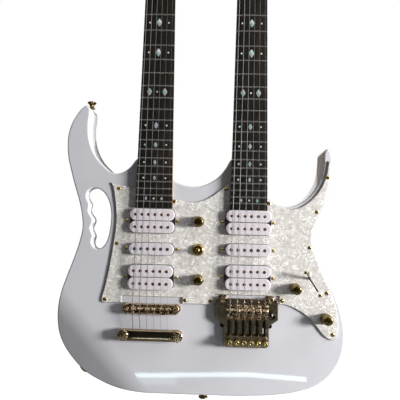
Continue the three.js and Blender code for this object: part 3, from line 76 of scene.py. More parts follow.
# Clearances and levels
FIT_GAP = 0.3
SINK = 0.5  # how far a separate shell is sunk into the one that carries it
OVERRUN = 2.0  # how far a cutter reaches past the face that it cuts
BODY_LOW, BODY_HIGH = box_mm("body")
BODY_LENGTH = BODY_HIGH[2] - BODY_LOW[2]
BODY_HALF_WIDTH = (BODY_HIGH[0] - BODY_LOW[0]) / 2
BODY_CENTRE_X = (BODY_HIGH[0] + BODY_LOW[0]) / 2
BACK_Y = BODY_HIGH[1]
FRONT_Y = -BACK_Y
GUARD_THICKNESS = 2.5
GUARD_BACK_Y = FRONT_Y - FIT_GAP
GUARD_FRONT_Y = GUARD_BACK_Y - GUARD_THICKNESS

# Necks and scale
STRING_COUNT = 6
FRET_COUNT = 24
FRETBOARD_TAIL = 9.6
BOARD_LOW, BOARD_HIGH = box_mm("fretboard_left")
LEFT_X = centre_mm("fretboard_left")[0]
RIGHT_X = centre_mm("fretboard_right")[0]
NECKS = {"left": LEFT_X, "right": RIGHT_X}
NECK_END_Z = BOARD_LOW[2]
NUT_Z = BOARD_HIGH[2] + FIT_GAP
LAST_FRET_Z = NECK_END_Z + FRETBOARD_TAIL
SCALE = (NUT_Z - LAST_FRET_Z) / (1 - 2 ** (-FRET_COUNT / 12))
SADDLE_Z = NUT_Z - SCALE
NUT_WIDTH = 43.0
LAST_FRET_WIDTH = 56.0
NUT_THICKNESS = 4.2
HEAD_Z = NUT_Z + NUT_THICKNESS + FIT_GAP
BOARD_TOP_Y = FRONT_Y - 10.0
BOARD_THICKNESS = 6.0
NECK_FACE_Y = BOARD_TOP_Y + BOARD_THICKNESS + FIT_GAP
BOARD_RADIUS = 400.0
NUT_SPREAD = 35.5
BRIDGE_SPREAD = 52.4
STRING_RADII = (0.53, 0.46, 0.33, 0.22, 0.17, 0.12)
SADDLE_STRING_Y = FRONT_Y - 15.5
NUT_STRING_Y = BOARD_TOP_Y - 2.1
HEAD_ANGLE = 14.0
HEAD_THICKNESS = 14.0

# Bridges
BRIDGE_X = centre_mm("fixed_bridge")[0]
TAIL_Z = centre_mm("stop_tailpiece")[2]
TREM_X = centre_mm("tremolo_plate")[0]
TREM_BACK_Y = FRONT_Y - 5.0
TREM_FRONT_Y = TREM_BACK_Y - 3.4
TREM_PIVOT_Z = SADDLE_Z + 18.1

# Outlines, as shares of the body's half width and of its length, as the solids have them
BODY_SHARES = (
    (-0.85, 1.0), (-0.885, 0.987), (-0.919, 0.964), (-0.951, 0.932), (-0.971, 0.896),
    (-0.975, 0.859), (-0.967, 0.814), (-0.942, 0.764), (-0.906, 0.705), (-0.869, 0.649),
    (-0.845, 0.596), (-0.84, 0.556), (-0.858, 0.508), (-0.892, 0.451), (-0.933, 0.393),
    (-0.969, 0.338), (-0.992, 0.283), (-1.0, 0.23), (-0.988, 0.181), (-0.948, 0.135),
    (-0.885, 0.094), (-0.803, 0.056), (-0.708, 0.032), (-0.58, 0.011), (-0.407, 0.001),
    (-0.184, 0), (0.044, 0), (0.318, 0.002), (0.527, 0.009), (0.687, 0.023),
    (0.814, 0.046), (0.917, 0.088), (0.978, 0.141), (1.0, 0.196), (0.998, 0.243),
    (0.978, 0.295), (0.937, 0.353), (0.882, 0.409), (0.826, 0.467), (0.796, 0.515),
    (0.791, 0.546), (0.805, 0.584), (0.842, 0.624), (0.88, 0.671), (0.91, 0.732),
    (0.92, 0.787), (0.917, 0.822), (0.904, 0.849), (0.884, 0.857), (0.864, 0.848),
    (0.858, 0.816), (0.85, 0.776), (0.827, 0.737), (0.785, 0.703), (0.732, 0.675),
    (0.664, 0.656), (0.594, 0.649), (0.532, 0.659), (0.477, 0.684), (0.4, 0.728),
    (0.308, 0.778), (0.245, 0.814), (0.208, 0.813), (0.167, 0.78), (0.117, 0.749),
    (0.053, 0.727), (-0.015, 0.714), (-0.092, 0.715), (-0.159, 0.724), (-0.211, 0.739),
    (-0.302, 0.773), (-0.393, 0.805), (-0.448, 0.814), (-0.477, 0.803), (-0.512, 0.78),
    (-0.553, 0.763), (-0.605, 0.754), (-0.648, 0.759), (-0.701, 0.78), (-0.749, 0.805),
    (-0.792, 0.841), (-0.819, 0.884), (-0.826, 0.93), (-0.82, 0.968), (-0.826, 0.991),
)
SLOT_SHARES = (
    (-0.776, 0.7), (-0.73, 0.697), (-0.69, 0.682), (-0.658, 0.655), (-0.641, 0.621),
    (-0.638, 0.59), (-0.643, 0.556), (-0.655, 0.524), (-0.676, 0.501), (-0.71, 0.487),
    (-0.746, 0.49), (-0.768, 0.509), (-0.761, 0.533), (-0.78, 0.558), (-0.766, 0.587),
    (-0.798, 0.617), (-0.794, 0.641), (-0.817, 0.668), (-0.808, 0.689),
)
GUARD_LEFT_SHARES = (
    (-0.661, 0.3), (-0.68, 0.307), (-0.665, 0.349), (-0.643, 0.405), (-0.621, 0.478),
    (-0.604, 0.548), (-0.599, 0.591), (-0.608, 0.643), (-0.631, 0.705), (-0.648, 0.721),
)
GUARD_CENTRE_SHARES = (
    (-0.2, 0.674), (-0.12, 0.662), (-0.051, 0.659), (-0.006, 0.663), (0.056, 0.676),
    (0.122, 0.699), (0.172, 0.72), (0.205, 0.729),
)
GUARD_HORN_SHARES = (
    (0.463, 0.676), (0.491, 0.666), (0.527, 0.656), (0.564, 0.648), (0.598, 0.642),
    (0.657, 0.643), (0.723, 0.658), (0.789, 0.686), (0.841, 0.724), (0.869, 0.761),
    (0.882, 0.797), (0.884, 0.813),
)
GUARD_RIGHT_SHARES = (
    (0.9, 0.809), (0.905, 0.784), (0.896, 0.745), (0.878, 0.698), (0.851, 0.657),
    (0.823, 0.624), (0.79, 0.584), (0.776, 0.55), (0.78, 0.521), (0.8, 0.485),
    (0.829, 0.448), (0.862, 0.41), (0.897, 0.373), (0.926, 0.337), (0.946, 0.299),
    (0.958, 0.265), (0.957, 0.231), (0.944, 0.205), (0.914, 0.198), (0.887, 0.202),
    (0.855, 0.212), (0.819, 0.233), (0.767, 0.264), (0.716, 0.284), (0.65, 0.302),
    (0.598, 0.311),
)
GUARD_SCREW_SHARES = (
    (-0.584, 0.7), (-0.584, 0.507), (-0.653, 0.314), (0.883, 0.754), (0.807, 0.633),
    (0.759, 0.509), (0.877, 0.356), (0.918, 0.218),
)
CONTROL_ROUT_SHARES = (
    (0.56, 0.43), (0.56, 0.37), (0.72, 0.315), (0.82, 0.25), (0.93, 0.25), (0.91, 0.31),
    (0.84, 0.4), (0.75, 0.49),
)
HEAD_SHARES = (
    (-0.524, 0), (-0.56, 0.03), (-0.7, 0.085), (-0.745, 0.12), (-0.61, 0.25),
    (-0.354, 0.45), (-0.1, 0.65), (0.15, 0.85), (0.265, 0.95), (0.4, 1.0),
    (0.54, 0.985), (0.7, 0.9), (0.88, 0.77), (0.96, 0.68), (0.9, 0.62),
    (0.82, 0.48), (0.72, 0.3), (0.6, 0.14), (0.53, 0.05), (0.524, 0),
)
HEAD_LENGTH = 190.0
HEAD_HALF_WIDTH = 41.0


def length_property(label, note, value, low, high):
    """A length that the user may change, given in millimetres."""
    return bpy.props.FloatProperty(
        name=label, description=note, default=value * MM, min=low * MM, max=high * MM, unit="LENGTH")


def power_property(label, note, value):
    """A lamp's power that the user may change."""
    return bpy.props.FloatProperty(name=label, description=note, default=value, min=0, unit="POWER")


def colour_property(label, note, value):
    """A colour that the user may change."""
    return bpy.props.FloatVectorProperty(
        name=label, description=note, default=value, size=3, min=0, max=1, subtype="COLOR")


class GuitarSizes(bpy.types.PropertyGroup):
    """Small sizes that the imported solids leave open, and the lamps' powers."""

    edge_radius: length_property("Body edge", "Rounding of the body's edges", 2.5, 0.5, 6)
    slot_flare: length_property("Slot's flare", "How far the handle slot widens to the back", 8.5, 0, 12)
    guard_bevel: length_property("Guard bevel", "Width of the pickguard's bevel", 1.5, 0.2, 3)
    fret_height: length_property("Fret height", "Fret crown above the fretboard", 1.1, 0.5, 1.5)
    inlay_length: length_property("Inlay length", "Length of a lozenge inlay", 13, 4, 20)
    flake_size: length_property("Pearl flake", "Size of the pickguard's pearl flakes", 6.5, 2, 20)
    knob_ridges: bpy.props.IntProperty(
        name="Knob ridges", description="Ridges round a knob's side", default=30, min=12, max=60)
    key_power: power_property("Key lamp", "Power of the lamp on the right", 95.0)
    soft_power: power_property("Soft lamp", "Power of the broad lamp at the upper right", 26.0)
    behind_power: power_property("Lamp behind", "Power of the lamp that lights the back", 24.0)
    streak_power: power_property("Streak lamp", "Power per metre of the strips mirrored in the lacquer", 0.5)
    fill_strength: bpy.props.FloatProperty(
        name="Fill", description="Strength of the white surroundings", default=0.08, min=0)


class GuitarColours(bpy.types.PropertyGroup):
    """Colours of the finishes."""

    lacquer: colour_property("Lacquer", "Body and headstock paint", (0.66, 0.66, 0.71))
    pearl_dark: colour_property("Pearl, dark", "Darkest flakes of the pickguard", (0.58, 0.55, 0.52))
    pearl_light: colour_property("Pearl, light", "Brightest flakes of the pickguard", (0.97, 0.95, 0.92))
    plastic: colour_property("Bobbin plastic", "Pickup bobbins and back cover", (0.74, 0.69, 0.73))
    gold: colour_property("Gold", "Bright plated hardware", (0.62, 0.46, 0.17))
    # Olive: the gold darkened for the tremolo and tailpiece, painted shade that stands in for their dark
    # reflections.
    olive: colour_property("Olive", "Dark plating of the tremolo and tailpiece", (0.4, 0.31, 0.2))
    speckle: colour_property("Speckle", "Bright specks of the bridges' plating", (0.9, 0.64, 0.4))
    fret: colour_property("Frets", "Nickel silver of the frets and springs", (0.36, 0.34, 0.32))
    bronze: colour_property("Bronze", "Darker patches of the plating", (0.22, 0.16, 0.06))
    copper: colour_property("Pole screws", "Pole screws of the double pickups", (0.34, 0.2, 0.13))
    steel: colour_property("Steel", "Strings and the single pickups' poles", (0.62, 0.63, 0.65))
    rosewood: colour_property("Rosewood", "Fretboards", (0.008, 0.007, 0.006))
    maple: colour_property("Maple", "Necks", (0.62, 0.4, 0.19))
    abalone: colour_property("Abalone", "Inlays", (0.36, 0.48, 0.45))
    ivory: colour_property("Ivory plastic", "Nut and switch tip", (0.8, 0.76, 0.66))
    # Black: the pickups' tape, and painted shade on the walls of the tremolo's slots and bores.
    black: colour_property("Black plastic", "Pickup tape and the tremolo's bores", (0.02, 0.02, 0.022))


def sizes():
    """The size settings of the scene."""
    return bpy.context.scene.guitar_sizes


def colours():
    """The colour settings of the scene."""
    return bpy.context.scene.guitar_colours


# Surfaces

class Skin:
    """Points in millimetres and faces as index tuples, with a material place and a shading flag a face."""

    def __init__(self, points, faces, slots=0, smooth=True):
        self.points = np.asarray(points, float).reshape(-1, 3)
        self.faces = [tuple(face) for face in faces]
        self.slots = np.broadcast_to(slots, len(self.faces)).astype(int)
        self.smooth = np.broadcast_to(smooth, len(self.faces)).astype(bool)

    def __add__(self, other):
        return joined([self, other])

    def placed(self, matrix):
        """The skin carried by a 4 x 4 matrix in millimetres."""
        turn = np.array(matrix)
        return Skin(self.points @ turn[:3, :3].T + turn[:3, 3], self.faces, self.slots, self.smooth)

    def at(self, x, y=0.0, z=0.0):
        """The skin moved by three lengths."""
        return Skin(self.points + np.array([x, y, z]), self.faces, self.slots, self.smooth)

    def painted(self, slot):
        """The skin with one material place."""
        return Skin(self.points, self.faces, slot, self.smooth)


def joined(skins):
    """All the skins of a list in one."""
    skins = list(skins)
    starts = np.cumsum([0] + [len(s.points) for s in skins[:-1]])
    faces = [tuple(i + start for i in face) for s, start in zip(skins, starts) for face in s.faces]
    return Skin(np.vstack([s.points for s in skins]), faces,
                np.concatenate([s.slots for s in skins]), np.concatenate([s.smooth for s in skins]))


def sheet(grid, slots=0):
    """Quads between neighbouring points of a rows x columns grid of points, each row closed on
    itself. Slots may give a material place for each band between two rows."""
    rows, columns = grid.shape[:2]
    index = np.arange(rows * columns).reshape(rows, columns)
    index = np.hstack([index, index[:, :1]])
    quads = np.stack([index[:-1, :-1], index[:-1, 1:], index[1:, 1:], index[1:, :-1]], -1)
    places = np.repeat(np.broadcast_to(slots, rows - 1), columns)
    return Skin(grid.reshape(-1, 3), quads.reshape(-1, 4).tolist(), places)


def capped(grid, slots=0, cap_slots=(0, 0)):
    """A closed tube of rings, with its first and last ring filled by one flat face each."""
    rows, columns = grid.shape[:2]
    body = sheet(grid, slots)
    last = (rows - 1) * columns
    ends = [tuple(range(columns)), tuple(range(last + columns - 1, last - 1, -1))]
    return Skin(body.points, body.faces + ends, np.append(body.slots, cap_slots),
                np.append(body.smooth, [False, False]))


def bent(value, power):
    """A sine or cosine raised to a power with its sign kept: low powers give boxy sections."""
    return np.sign(value) * np.abs(value) ** power


def eased(share):
    """A share from 0 to 1 that leaves and arrives gently."""
    return share ** 2 * (3 - 2 * share)


def both_sides(middle, spacing):
    """Two places half a spacing to each side of a middle."""
    return middle - spacing / 2, middle + spacing / 2


def turned_at(degrees, axis, place=(0, 0, 0)):
    """The matrix that turns a skin about an axis and then moves it to a place."""
    return Matrix.Translation(place) @ Matrix.Rotation(math.radians(degrees), 4, axis)


def smooth_curve(knots, steps, closed=True):
    """Centripetal Catmull-Rom curve through the knots: a cubic from each knot to the next whose
    end slopes come from the knots on both sides, weighted by the square roots of the distances."""
    knots = np.asarray(knots, float)
    if closed:
        before, start = np.roll(knots, 1, 0), knots
        end, after = np.roll(knots, -1, 0), np.roll(knots, -2, 0)
    else:
        padded = np.vstack([2 * knots[0] - knots[1], knots, 2 * knots[-1] - knots[-2]])
        before, start, end, after = padded[:-3], padded[1:-2], padded[2:-1], padded[3:]
    gap_before = np.sqrt(np.linalg.norm(start - before, axis=1))[:, None]
    gap = np.sqrt(np.linalg.norm(end - start, axis=1))[:, None]
    gap_after = np.sqrt(np.linalg.norm(after - end, axis=1))[:, None]
    leave = (start - before) / gap_before - (end - before) / (gap_before + gap) + (end - start) / gap
    arrive = (end - start) / gap - (after - start) / (gap + gap_after) + (after - end) / gap_after
    t = (np.arange(steps) / steps)[None, :, None]
    leave, arrive = (leave * gap)[:, None], (arrive * gap)[:, None]
    points = ((2 * t ** 3 - 3 * t ** 2 + 1) * start[:, None] + (t ** 3 - 2 * t ** 2 + t) * leave
              + (3 * t ** 2 - 2 * t ** 3) * end[:, None] + (t ** 3 - t ** 2) * arrive)
    points = points.reshape(-1, knots.shape[1])
    return points if closed else np.vstack([points, knots[-1]])


def softened(corners, radius, steps, closed=False):
    """A polyline whose corners are rounded: each corner gives way to a quadratic arc between the
    points that lie a radius, or half a side, before and after it."""
    corners = np.asarray(corners, float)
    before, after = np.roll(corners, 1, 0) - corners, np.roll(corners, -1, 0) - corners
    length_before = np.maximum(np.linalg.norm(before, axis=1), 1e-6)[:, None]
    length_after = np.maximum(np.linalg.norm(after, axis=1), 1e-6)[:, None]
    start = corners + before * np.minimum(radius, length_before / 2.01) / length_before
    end = corners + after * np.minimum(radius, length_after / 2.01) / length_after
    t = np.linspace(0, 1, steps + 1)[None, :, None]
    arcs = (1 - t) ** 2 * start[:, None] + 2 * t * (1 - t) * corners[:, None] + t ** 2 * end[:, None]
    if closed:
        return arcs.reshape(-1, corners.shape[1])
    return np.vstack([corners[:1], arcs[1:-1].reshape(-1, corners.shape[1]), corners[-1:]])


def counterclockwise(outline):
    """The outline, run so that its inside lies to the left."""
    x, z = outline.T
    area = np.sum(x * np.roll(z, -1) - np.roll(x, -1) * z)
    return outline if area > 0 else outline[::-1]


def inset(outline, distance):
    """The outline moved inwards: each point goes along the mitre of its two sides' normals."""
    side = np.roll(outline, -1, 0) - outline
    normal = np.stack([side[:, 1], -side[:, 0]], -1)
    normal = normal / np.linalg.norm(normal, axis=1)[:, None]
    earlier = np.roll(normal, 1, 0)
    mitre = (normal + earlier) / np.maximum(1 + np.sum(normal * earlier, axis=1), 0.4)[:, None]
    return outline - distance * mitre


def rounded_rectangle(x, z, width, height, radius, steps=6):
    """Four quarter circles about the corners' centres, one after another."""
    angle = (np.arange(4)[:, None] + np.linspace(0, 1, steps + 1)[None, :]) * math.pi / 2
    across = np.array([1, -1, -1, 1])[:, None] * (width / 2 - radius) + radius * np.cos(angle)
    up = np.array([1, 1, -1, -1])[:, None] * (height / 2 - radius) + radius * np.sin(angle)
    return np.stack([x + across.ravel(), z + up.ravel()], -1)


def circle(x, z, radius, sides=32):
    """A round outline."""
    angle = np.linspace(0, 2 * math.pi, sides, endpoint=False)
    return np.stack([x + radius * np.cos(angle), z + radius * np.sin(angle)], -1)


def flat_fill(loops, slot):
    """Triangles that fill a flat outline round its holes. The loops are lists of 3-D points."""
    triangles = tessellate_polygon([[Vector(point) for point in loop] for loop in loops])
    return Skin(np.vstack(loops), triangles, slot, False)


def plate(outline, rim, holes=(), slots=0, cap_slots=(0, 0), flare=None):
    """A plate whose edge follows a rim profile: a list of (inset, y) from the back face to the
    front face. Each ring is the outline moved inwards by the inset, and each hole's ring is moved
    outwards by it. Both end rings are filled. A flare (depth, reach) widens the holes leftwards,
    in proportion from that depth to the back face."""
    rim = np.asarray(rim, float)
    walls, back_loops, front_loops = [], [], []
    for number, loop in enumerate([outline, *holes]):
        loop = counterclockwise(np.asarray(loop, float))
        way = 1 if number == 0 else -1
        flat = np.stack([inset(loop, way * step) for step, _ in rim])
        if number and flare:
            pivot = np.array([loop[:, 0].max(), (loop[:, 1].min() + loop[:, 1].max()) / 2])
            share = np.clip((rim[:, 1] - flare[0]) / (rim[0, 1] - flare[0]), 0, 1)[:, None, None]
            flat = pivot + (flat - pivot) * (1 + share * flare[1] / np.ptp(loop, axis=0))
        depth = np.broadcast_to(rim[:, 1][:, None, None], flat.shape[:2] + (1,))
        grid = np.concatenate([flat[..., :1], depth, flat[..., 1:]], -1)
        walls.append(sheet(grid, slots))
        back_loops.append(grid[0])
        front_loops.append(grid[-1])
    return joined(walls + [flat_fill(back_loops, cap_slots[0]), flat_fill(front_loops, cap_slots[1])])


def rounded_rim(back_y, front_y, radius, steps=5, back_radius=None, ledge=0.6):
    """A plate's rim with quarter rounds at both faces, and a narrow ledge on each face that keeps
    the shading of the flat face clean."""
    back_radius = radius if back_radius is None else back_radius
    turn = np.linspace(0, math.pi / 2, steps + 1)
    lower = np.stack([back_radius * (1 - np.sin(turn)), back_y - back_radius * (1 - np.cos(turn))], -1)
    upper = np.stack([radius * (1 - np.cos(turn)), front_y + radius * (1 - np.sin(turn))], -1)
    return np.vstack([[[back_radius + ledge, back_y]], lower, upper, [[radius + ledge, front_y]]])


def prism(outline, back_y, front_y, slot=0):
    """A straight-sided block between two levels."""
    return plate(outline, [(0, back_y), (0, front_y)], slots=slot, cap_slots=(slot, slot))


def spun(profile, sides=32, ripples=0, ripple_depths=0.0, slots=0):
    """A solid of revolution about the front-to-back axis: x = r cos a, z = r sin a, with the
    profile's (radius, y). Ripples pull the radius in and out by a cosine of the angle."""
    profile = np.asarray(profile, float)
    angle = np.linspace(0, 2 * math.pi, sides, endpoint=False)
    depth = np.broadcast_to(ripple_depths, len(profile))
    radius = profile[:, :1] - depth[:, None] * (0.5 + 0.5 * np.cos(ripples * angle))[None, :] * (ripples > 0)
    y = np.broadcast_to(profile[:, 1:], radius.shape)
    return sheet(np.stack([radius * np.cos(angle), y, radius * np.sin(angle)], -1), slots)


def round_rings(path, radius, first, second, sides):
    """Circles about the points of a path, in the plane of two directions that stand square to it."""
    angle = np.linspace(0, 2 * math.pi, sides, endpoint=False)[None, :, None]
    reach = np.broadcast_to(radius, len(path))[:, None, None]
    return path[:, None] + reach * (np.cos(angle) * first + np.sin(angle) * second)


def tube(path, radius, sides=8, aside=(1, 0, 0)):
    """A round tube along a path, closed at both ends. Its rings stand square to the path, set out
    from a side direction that never runs along it."""
    path = np.asarray(path, float)
    along = np.gradient(path, axis=0)
    along /= np.linalg.norm(along, axis=1)[:, None]
    first = np.cross(along, np.broadcast_to(aside, path.shape))
    first /= np.linalg.norm(first, axis=1)[:, None]
    return capped(round_rings(path, radius, first[:, None], np.cross(along, first)[:, None], sides))


def rod(start, end, radius, sides, slot=0):
    """A straight round bar with slightly eased ends."""
    start, end = np.asarray(start, float), np.asarray(end, float)
    length = np.linalg.norm(end - start)
    ease = min(radius / 4, length / 4) / length
    share = np.array([0, 0, ease, 1 - ease, 1, 1])[:, None]
    reach = radius * np.array([0.001, 0.8, 1, 1, 0.8, 0.001])
    along = (end - start) / length
    first = np.cross(along, np.eye(3)[np.argmin(np.abs(along))])
    first /= np.linalg.norm(first)
    grid = round_rings(start + (end - start) * share, reach, first, np.cross(along, first), sides)
    return capped(grid, slot, (slot, slot))


def pillow(half, power, rows, columns):
    """A rounded block: the superellipsoid whose three half sizes are given. Each coordinate is a
    cosine or sine raised to a power, and a small power gives flat faces with rounded edges."""
    lift = np.linspace(-math.pi / 2, math.pi / 2, rows + 1)[:, None]
    turn = np.linspace(-math.pi, math.pi, columns, endpoint=False)[None, :]
    out = bent(np.cos(lift), power)
    x = half[0] * out * bent(np.cos(turn), power)
    y = half[1] * out * bent(np.sin(turn), power)
    z = half[2] * bent(np.sin(lift), power) * np.ones_like(turn)
    return sheet(np.stack([x, y, z], -1))


def crown(x):
    """How far the fretboard's round top has dropped at a distance from its middle."""
    return BOARD_RADIUS - np.sqrt(BOARD_RADIUS ** 2 - np.asarray(x, float) ** 2)


def half_width(z):
    """Half the neck's width: straight from the nut to the last fret."""
    share = (NUT_Z - z) / (NUT_Z - LAST_FRET_Z)
    return (NUT_WIDTH + (LAST_FRET_WIDTH - NUT_WIDTH) * share) / 2


def on_body(shares):
    """Where shares of the body's half width and length fall on the body."""
    return np.asarray(shares, float) * [BODY_HALF_WIDTH, BODY_LENGTH] + [BODY_CENTRE_X, BODY_LOW[2]]


def string_x(index, spread):
    """A string's distance from its neck's middle, for a spread from first to last string."""
    return (index / (STRING_COUNT - 1) - 0.5) * spread


def fret_z(number):
    """Each fret leaves the twelfth root of two less of the string's length."""
    return SADDLE_Z + SCALE * 2 ** (-number / 12)


def head_matrix(neck_x):
    """The tilted frame of a headstock: its origin is at the nut's end of the neck's face."""
    return turned_at(-HEAD_ANGLE, "X", (neck_x, NECK_FACE_Y, HEAD_Z))


def screw_head(radius, rise, x, y, z, sink=0.4, sides=32, cross=True):
    """A domed head that faces -Y: the height falls with the square of the distance from the
    middle, and a crossed recess, or a slot, is pressed in where an axis passes near."""
    ring = np.array([1.0, 1.0, 0.97, 0.9, 0.78, 0.66, 0.58, 0.5, 0.4, 0.3, 0.2, 0.1, 0.001])[:, None]
    angle = np.linspace(0, 2 * math.pi, sides, endpoint=False)[None, :]
    height = rise * (1 - 0.8 * ring ** 2)
    height[0], height[1] = -sink, rise * 0.1
    height = np.broadcast_to(height, (len(ring), sides)).copy()
    across, up = ring * np.cos(angle), ring * np.sin(angle)
    near = np.minimum(np.abs(across), np.abs(up)) if cross else np.abs(up)
    recess = (near < 0.14) & (ring < (0.62 if cross else 0.95)) & (ring > 0)
    height[2:] -= (0.75 * rise * recess)[2:]
    return capped(np.stack([x + radius * across, y - height, z + radius * up], -1))


def back_screw(radius, rise, x, y, z, sink=0.4, sides=32):
    """A crossed screw head that faces backwards."""
    return screw_head(radius, rise, 0, 0, 0, sink, sides).placed(turned_at(180, "X", (x, y, z)))


def pinched_block(profile, half, pinch):
    """A saddle: its side view of (z, y) about the saddle line, carried across to half a width on
    both sides and drawn in a little at the ends."""
    across = np.array([-half, 0.3 - half, half - 0.3, half])
    centre = profile.mean(0)
    loops = centre + (profile - centre)[None] * np.array([pinch, 1, 1, pinch])[:, None, None]
    return capped(np.stack([np.broadcast_to(across[:, None], loops.shape[:2]), loops[..., 1],
                            SADDLE_Z + loops[..., 0]], -1))


# Meshes and pieces

def mesh_of(name, skin, materials):
    """A mesh in metres, with its doubles merged and its faces outwards."""
    mesh = bpy.data.meshes.new(name)
    mesh.from_pydata((skin.points * MM).tolist(), [], skin.faces)
    mesh.polygons.foreach_set("material_index", skin.slots)
    mesh.polygons.foreach_set("use_smooth", skin.smooth)
    for material in materials:
        mesh.materials.append(material)
    work = bmesh.new()
    work.from_mesh(mesh)
    bmesh.ops.remove_doubles(work, verts=work.verts, dist=2e-6)
    bmesh.ops.dissolve_degenerate(work, edges=work.edges, dist=1e-7)
    bmesh.ops.recalc_face_normals(work, faces=work.faces)
    work.to_mesh(mesh)
    work.free()
    return mesh


def carve(piece, tools, operation="DIFFERENCE"):
    """Cuts each tool's closed skin out of the piece, or joins it on, and keeps the result."""
    helpers = []
    for number, tool in enumerate(tools):
        helper = bpy.data.objects.new("tool", mesh_of("tool", tool, piece.data.materials))
        bpy.context.scene.collection.objects.link(helper)
        step = piece.modifiers.new(f"step {number}", "BOOLEAN")
        step.operation = operation
        step.solver = "EXACT"
        step.object = helper
        helpers.append(helper)
    bpy.context.view_layer.update()
    made = bpy.data.meshes.new_from_object(piece.evaluated_get(bpy.context.evaluated_depsgraph_get()))
    piece.modifiers.clear()
    old = piece.data
    piece.data = made
    bpy.data.meshes.remove(old)
    made.name = piece.name
    for helper in helpers:
        mesh = helper.data
        bpy.data.objects.remove(helper)
        bpy.data.meshes.remove(mesh)


def add_piece(name, skin, finishes, body, replaces=(), cuts=(), joins=(), sharp=34, bend=None):
    """Makes a finished piece at the origin, riding on its body and standing for its nodes."""
    piece = bpy.data.objects.new(name, mesh_of(name, skin, [finish(each) for each in finishes]))
    bpy.context.scene.collection.objects.link(piece)
    if bend:
        bend(piece.data)
    if len(joins):
        carve(piece, joins, "UNION")
    if len(cuts):
        carve(piece, cuts)
    piece.data.set_sharp_from_angle(angle=math.radians(sharp))
    if replaces:
        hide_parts(*replaces)
    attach(piece, body)
    return piece


# Finishes

class Finish:
    """One procedural material: a Principled shader and short calls for the nodes before it."""

    def __init__(self, name, roughness=0.4, metallic=0.0, coat=0.0):
        self.material = bpy.data.materials.new(name)
        self.material.use_nodes = True
        self.tree = self.material.node_tree
        self.shader = self.tree.nodes["Principled BSDF"]
        self.shader.inputs["Roughness"].default_value = roughness
        self.shader.inputs["Metallic"].default_value = metallic
        self.shader.inputs["Coat Weight"].default_value = coat
        self.shader.inputs["Coat Roughness"].default_value = 0.035
        self.place = self.add("ShaderNodeTexCoord").outputs["Object"]

    def add(self, kind, **settings):
        """A new node with its settings."""
        node = self.tree.nodes.new(kind)
        for key, value in settings.items():
            setattr(node, key, value)
        return node

    def feed(self, socket, value):
        """Links a node's output to a socket, or sets the socket to a number, colour or vector."""
        if isinstance(value, bpy.types.NodeSocket):
            self.tree.links.new(value, socket)
        elif hasattr(value, "__len__") and len(socket.default_value) == 4 and len(value) == 3:
            socket.default_value = (*value, 1)
        else:
            socket.default_value = value

    def stretched(self, stretch, turn=(0, 0, 0)):
        """Object coordinates turned, then scaled by three factors, to draw a pattern out along an axis."""
        node = self.add("ShaderNodeMapping", vector_type="TEXTURE")
        self.feed(node.inputs["Vector"], self.place)
        node.inputs["Scale"].default_value = [1 / factor for factor in stretch]
        node.inputs["Rotation"].default_value = turn
        return node.outputs["Vector"]

    def noise(self, size, detail, stretch=None, vector=None, roughness=0.5):
        """Cloudy noise with lumps of about a size in millimetres."""
        node = self.add("ShaderNodeTexNoise")
        self.feed(node.inputs["Vector"], vector or (self.stretched(stretch) if stretch else self.place))
        node.inputs["Scale"].default_value = 1 / (size * MM)
        node.inputs["Detail"].default_value = detail
        node.inputs["Roughness"].default_value = roughness
        return node.outputs["Fac"]

    def cells(self, size, vector, channel):
        """A random value for each cell of about a size in millimetres."""
        node = self.add("ShaderNodeTexVoronoi")
        self.feed(node.inputs["Vector"], vector)
        node.inputs["Scale"].default_value = 1 / (size * MM)
        split = self.add("ShaderNodeSeparateColor")
        self.feed(split.inputs["Color"], node.outputs["Color"])
        return split.outputs[channel]

    def math(self, operation, first, second):
        """One sum of two values."""
        node = self.add("ShaderNodeMath", operation=operation)
        self.feed(node.inputs[0], first)
        self.feed(node.inputs[1], second)
        return node.outputs["Value"]

    def ramp(self, factor, stops):
        """Colours along a factor; a stop is (place, colour)."""
        node = self.add("ShaderNodeValToRGB")
        while len(node.color_ramp.elements) < len(stops):
            node.color_ramp.elements.new(0.5)
        for element, (place, colour) in zip(node.color_ramp.elements, stops):
            element.position = place
            element.color = (*colour, 1)
        self.feed(node.inputs["Fac"], factor)
        return node.outputs["Color"]

    def mix(self, factor, first, second, blend="MIX"):
        """Two colours mixed by a factor."""
        node = self.add("ShaderNodeMix", data_type="RGBA", blend_type=blend)
        self.feed(node.inputs["Factor"], factor)
        self.feed(node.inputs[6], first)
        self.feed(node.inputs[7], second)
        return node.outputs[2]

    def ranged(self, factor, low, high, from_low=0.0, from_high=1.0):
        """A factor carried from one range to another, and held at its ends."""
        node = self.add("ShaderNodeMapRange")
        self.feed(node.inputs["Value"], factor)
        node.inputs["From Min"].default_value = from_low
        node.inputs["From Max"].default_value = from_high
        node.inputs["To Min"].default_value = low
        node.inputs["To Max"].default_value = high
        return node.outputs["Result"]

    def bump(self, height, depth, strength):
        """Bump whose full height is a depth in millimetres."""
        node = self.add("ShaderNodeBump")
        self.feed(node.inputs["Height"], height)
        node.inputs["Distance"].default_value = depth * MM
        node.inputs["Strength"].default_value = strength
        self.feed(self.shader.inputs["Normal"], node.outputs["Normal"])

    def base(self, colour):
        """Sets the base colour."""
        self.feed(self.shader.inputs["Base Color"], colour)

    def rough(self, factor, low, high):
        """Lets the roughness follow a factor between two values."""
        self.feed(self.shader.inputs["Roughness"], self.ranged(factor, low, high))


def scaled(colour, factor):
    """A colour made darker or lighter."""
    return tuple(min(1.0, channel * factor) for channel in colour)


def blended(first, second, share):
    """A colour between two others."""
    return tuple(a + (b - a) * share for a, b in zip(first, second))


_finishes = {}


def finish(name):
    """The named finish, made the first time that it is asked for."""
    if name not in _finishes:
        _finishes[name] = FINISHES[name](name).material
    return _finishes[name]


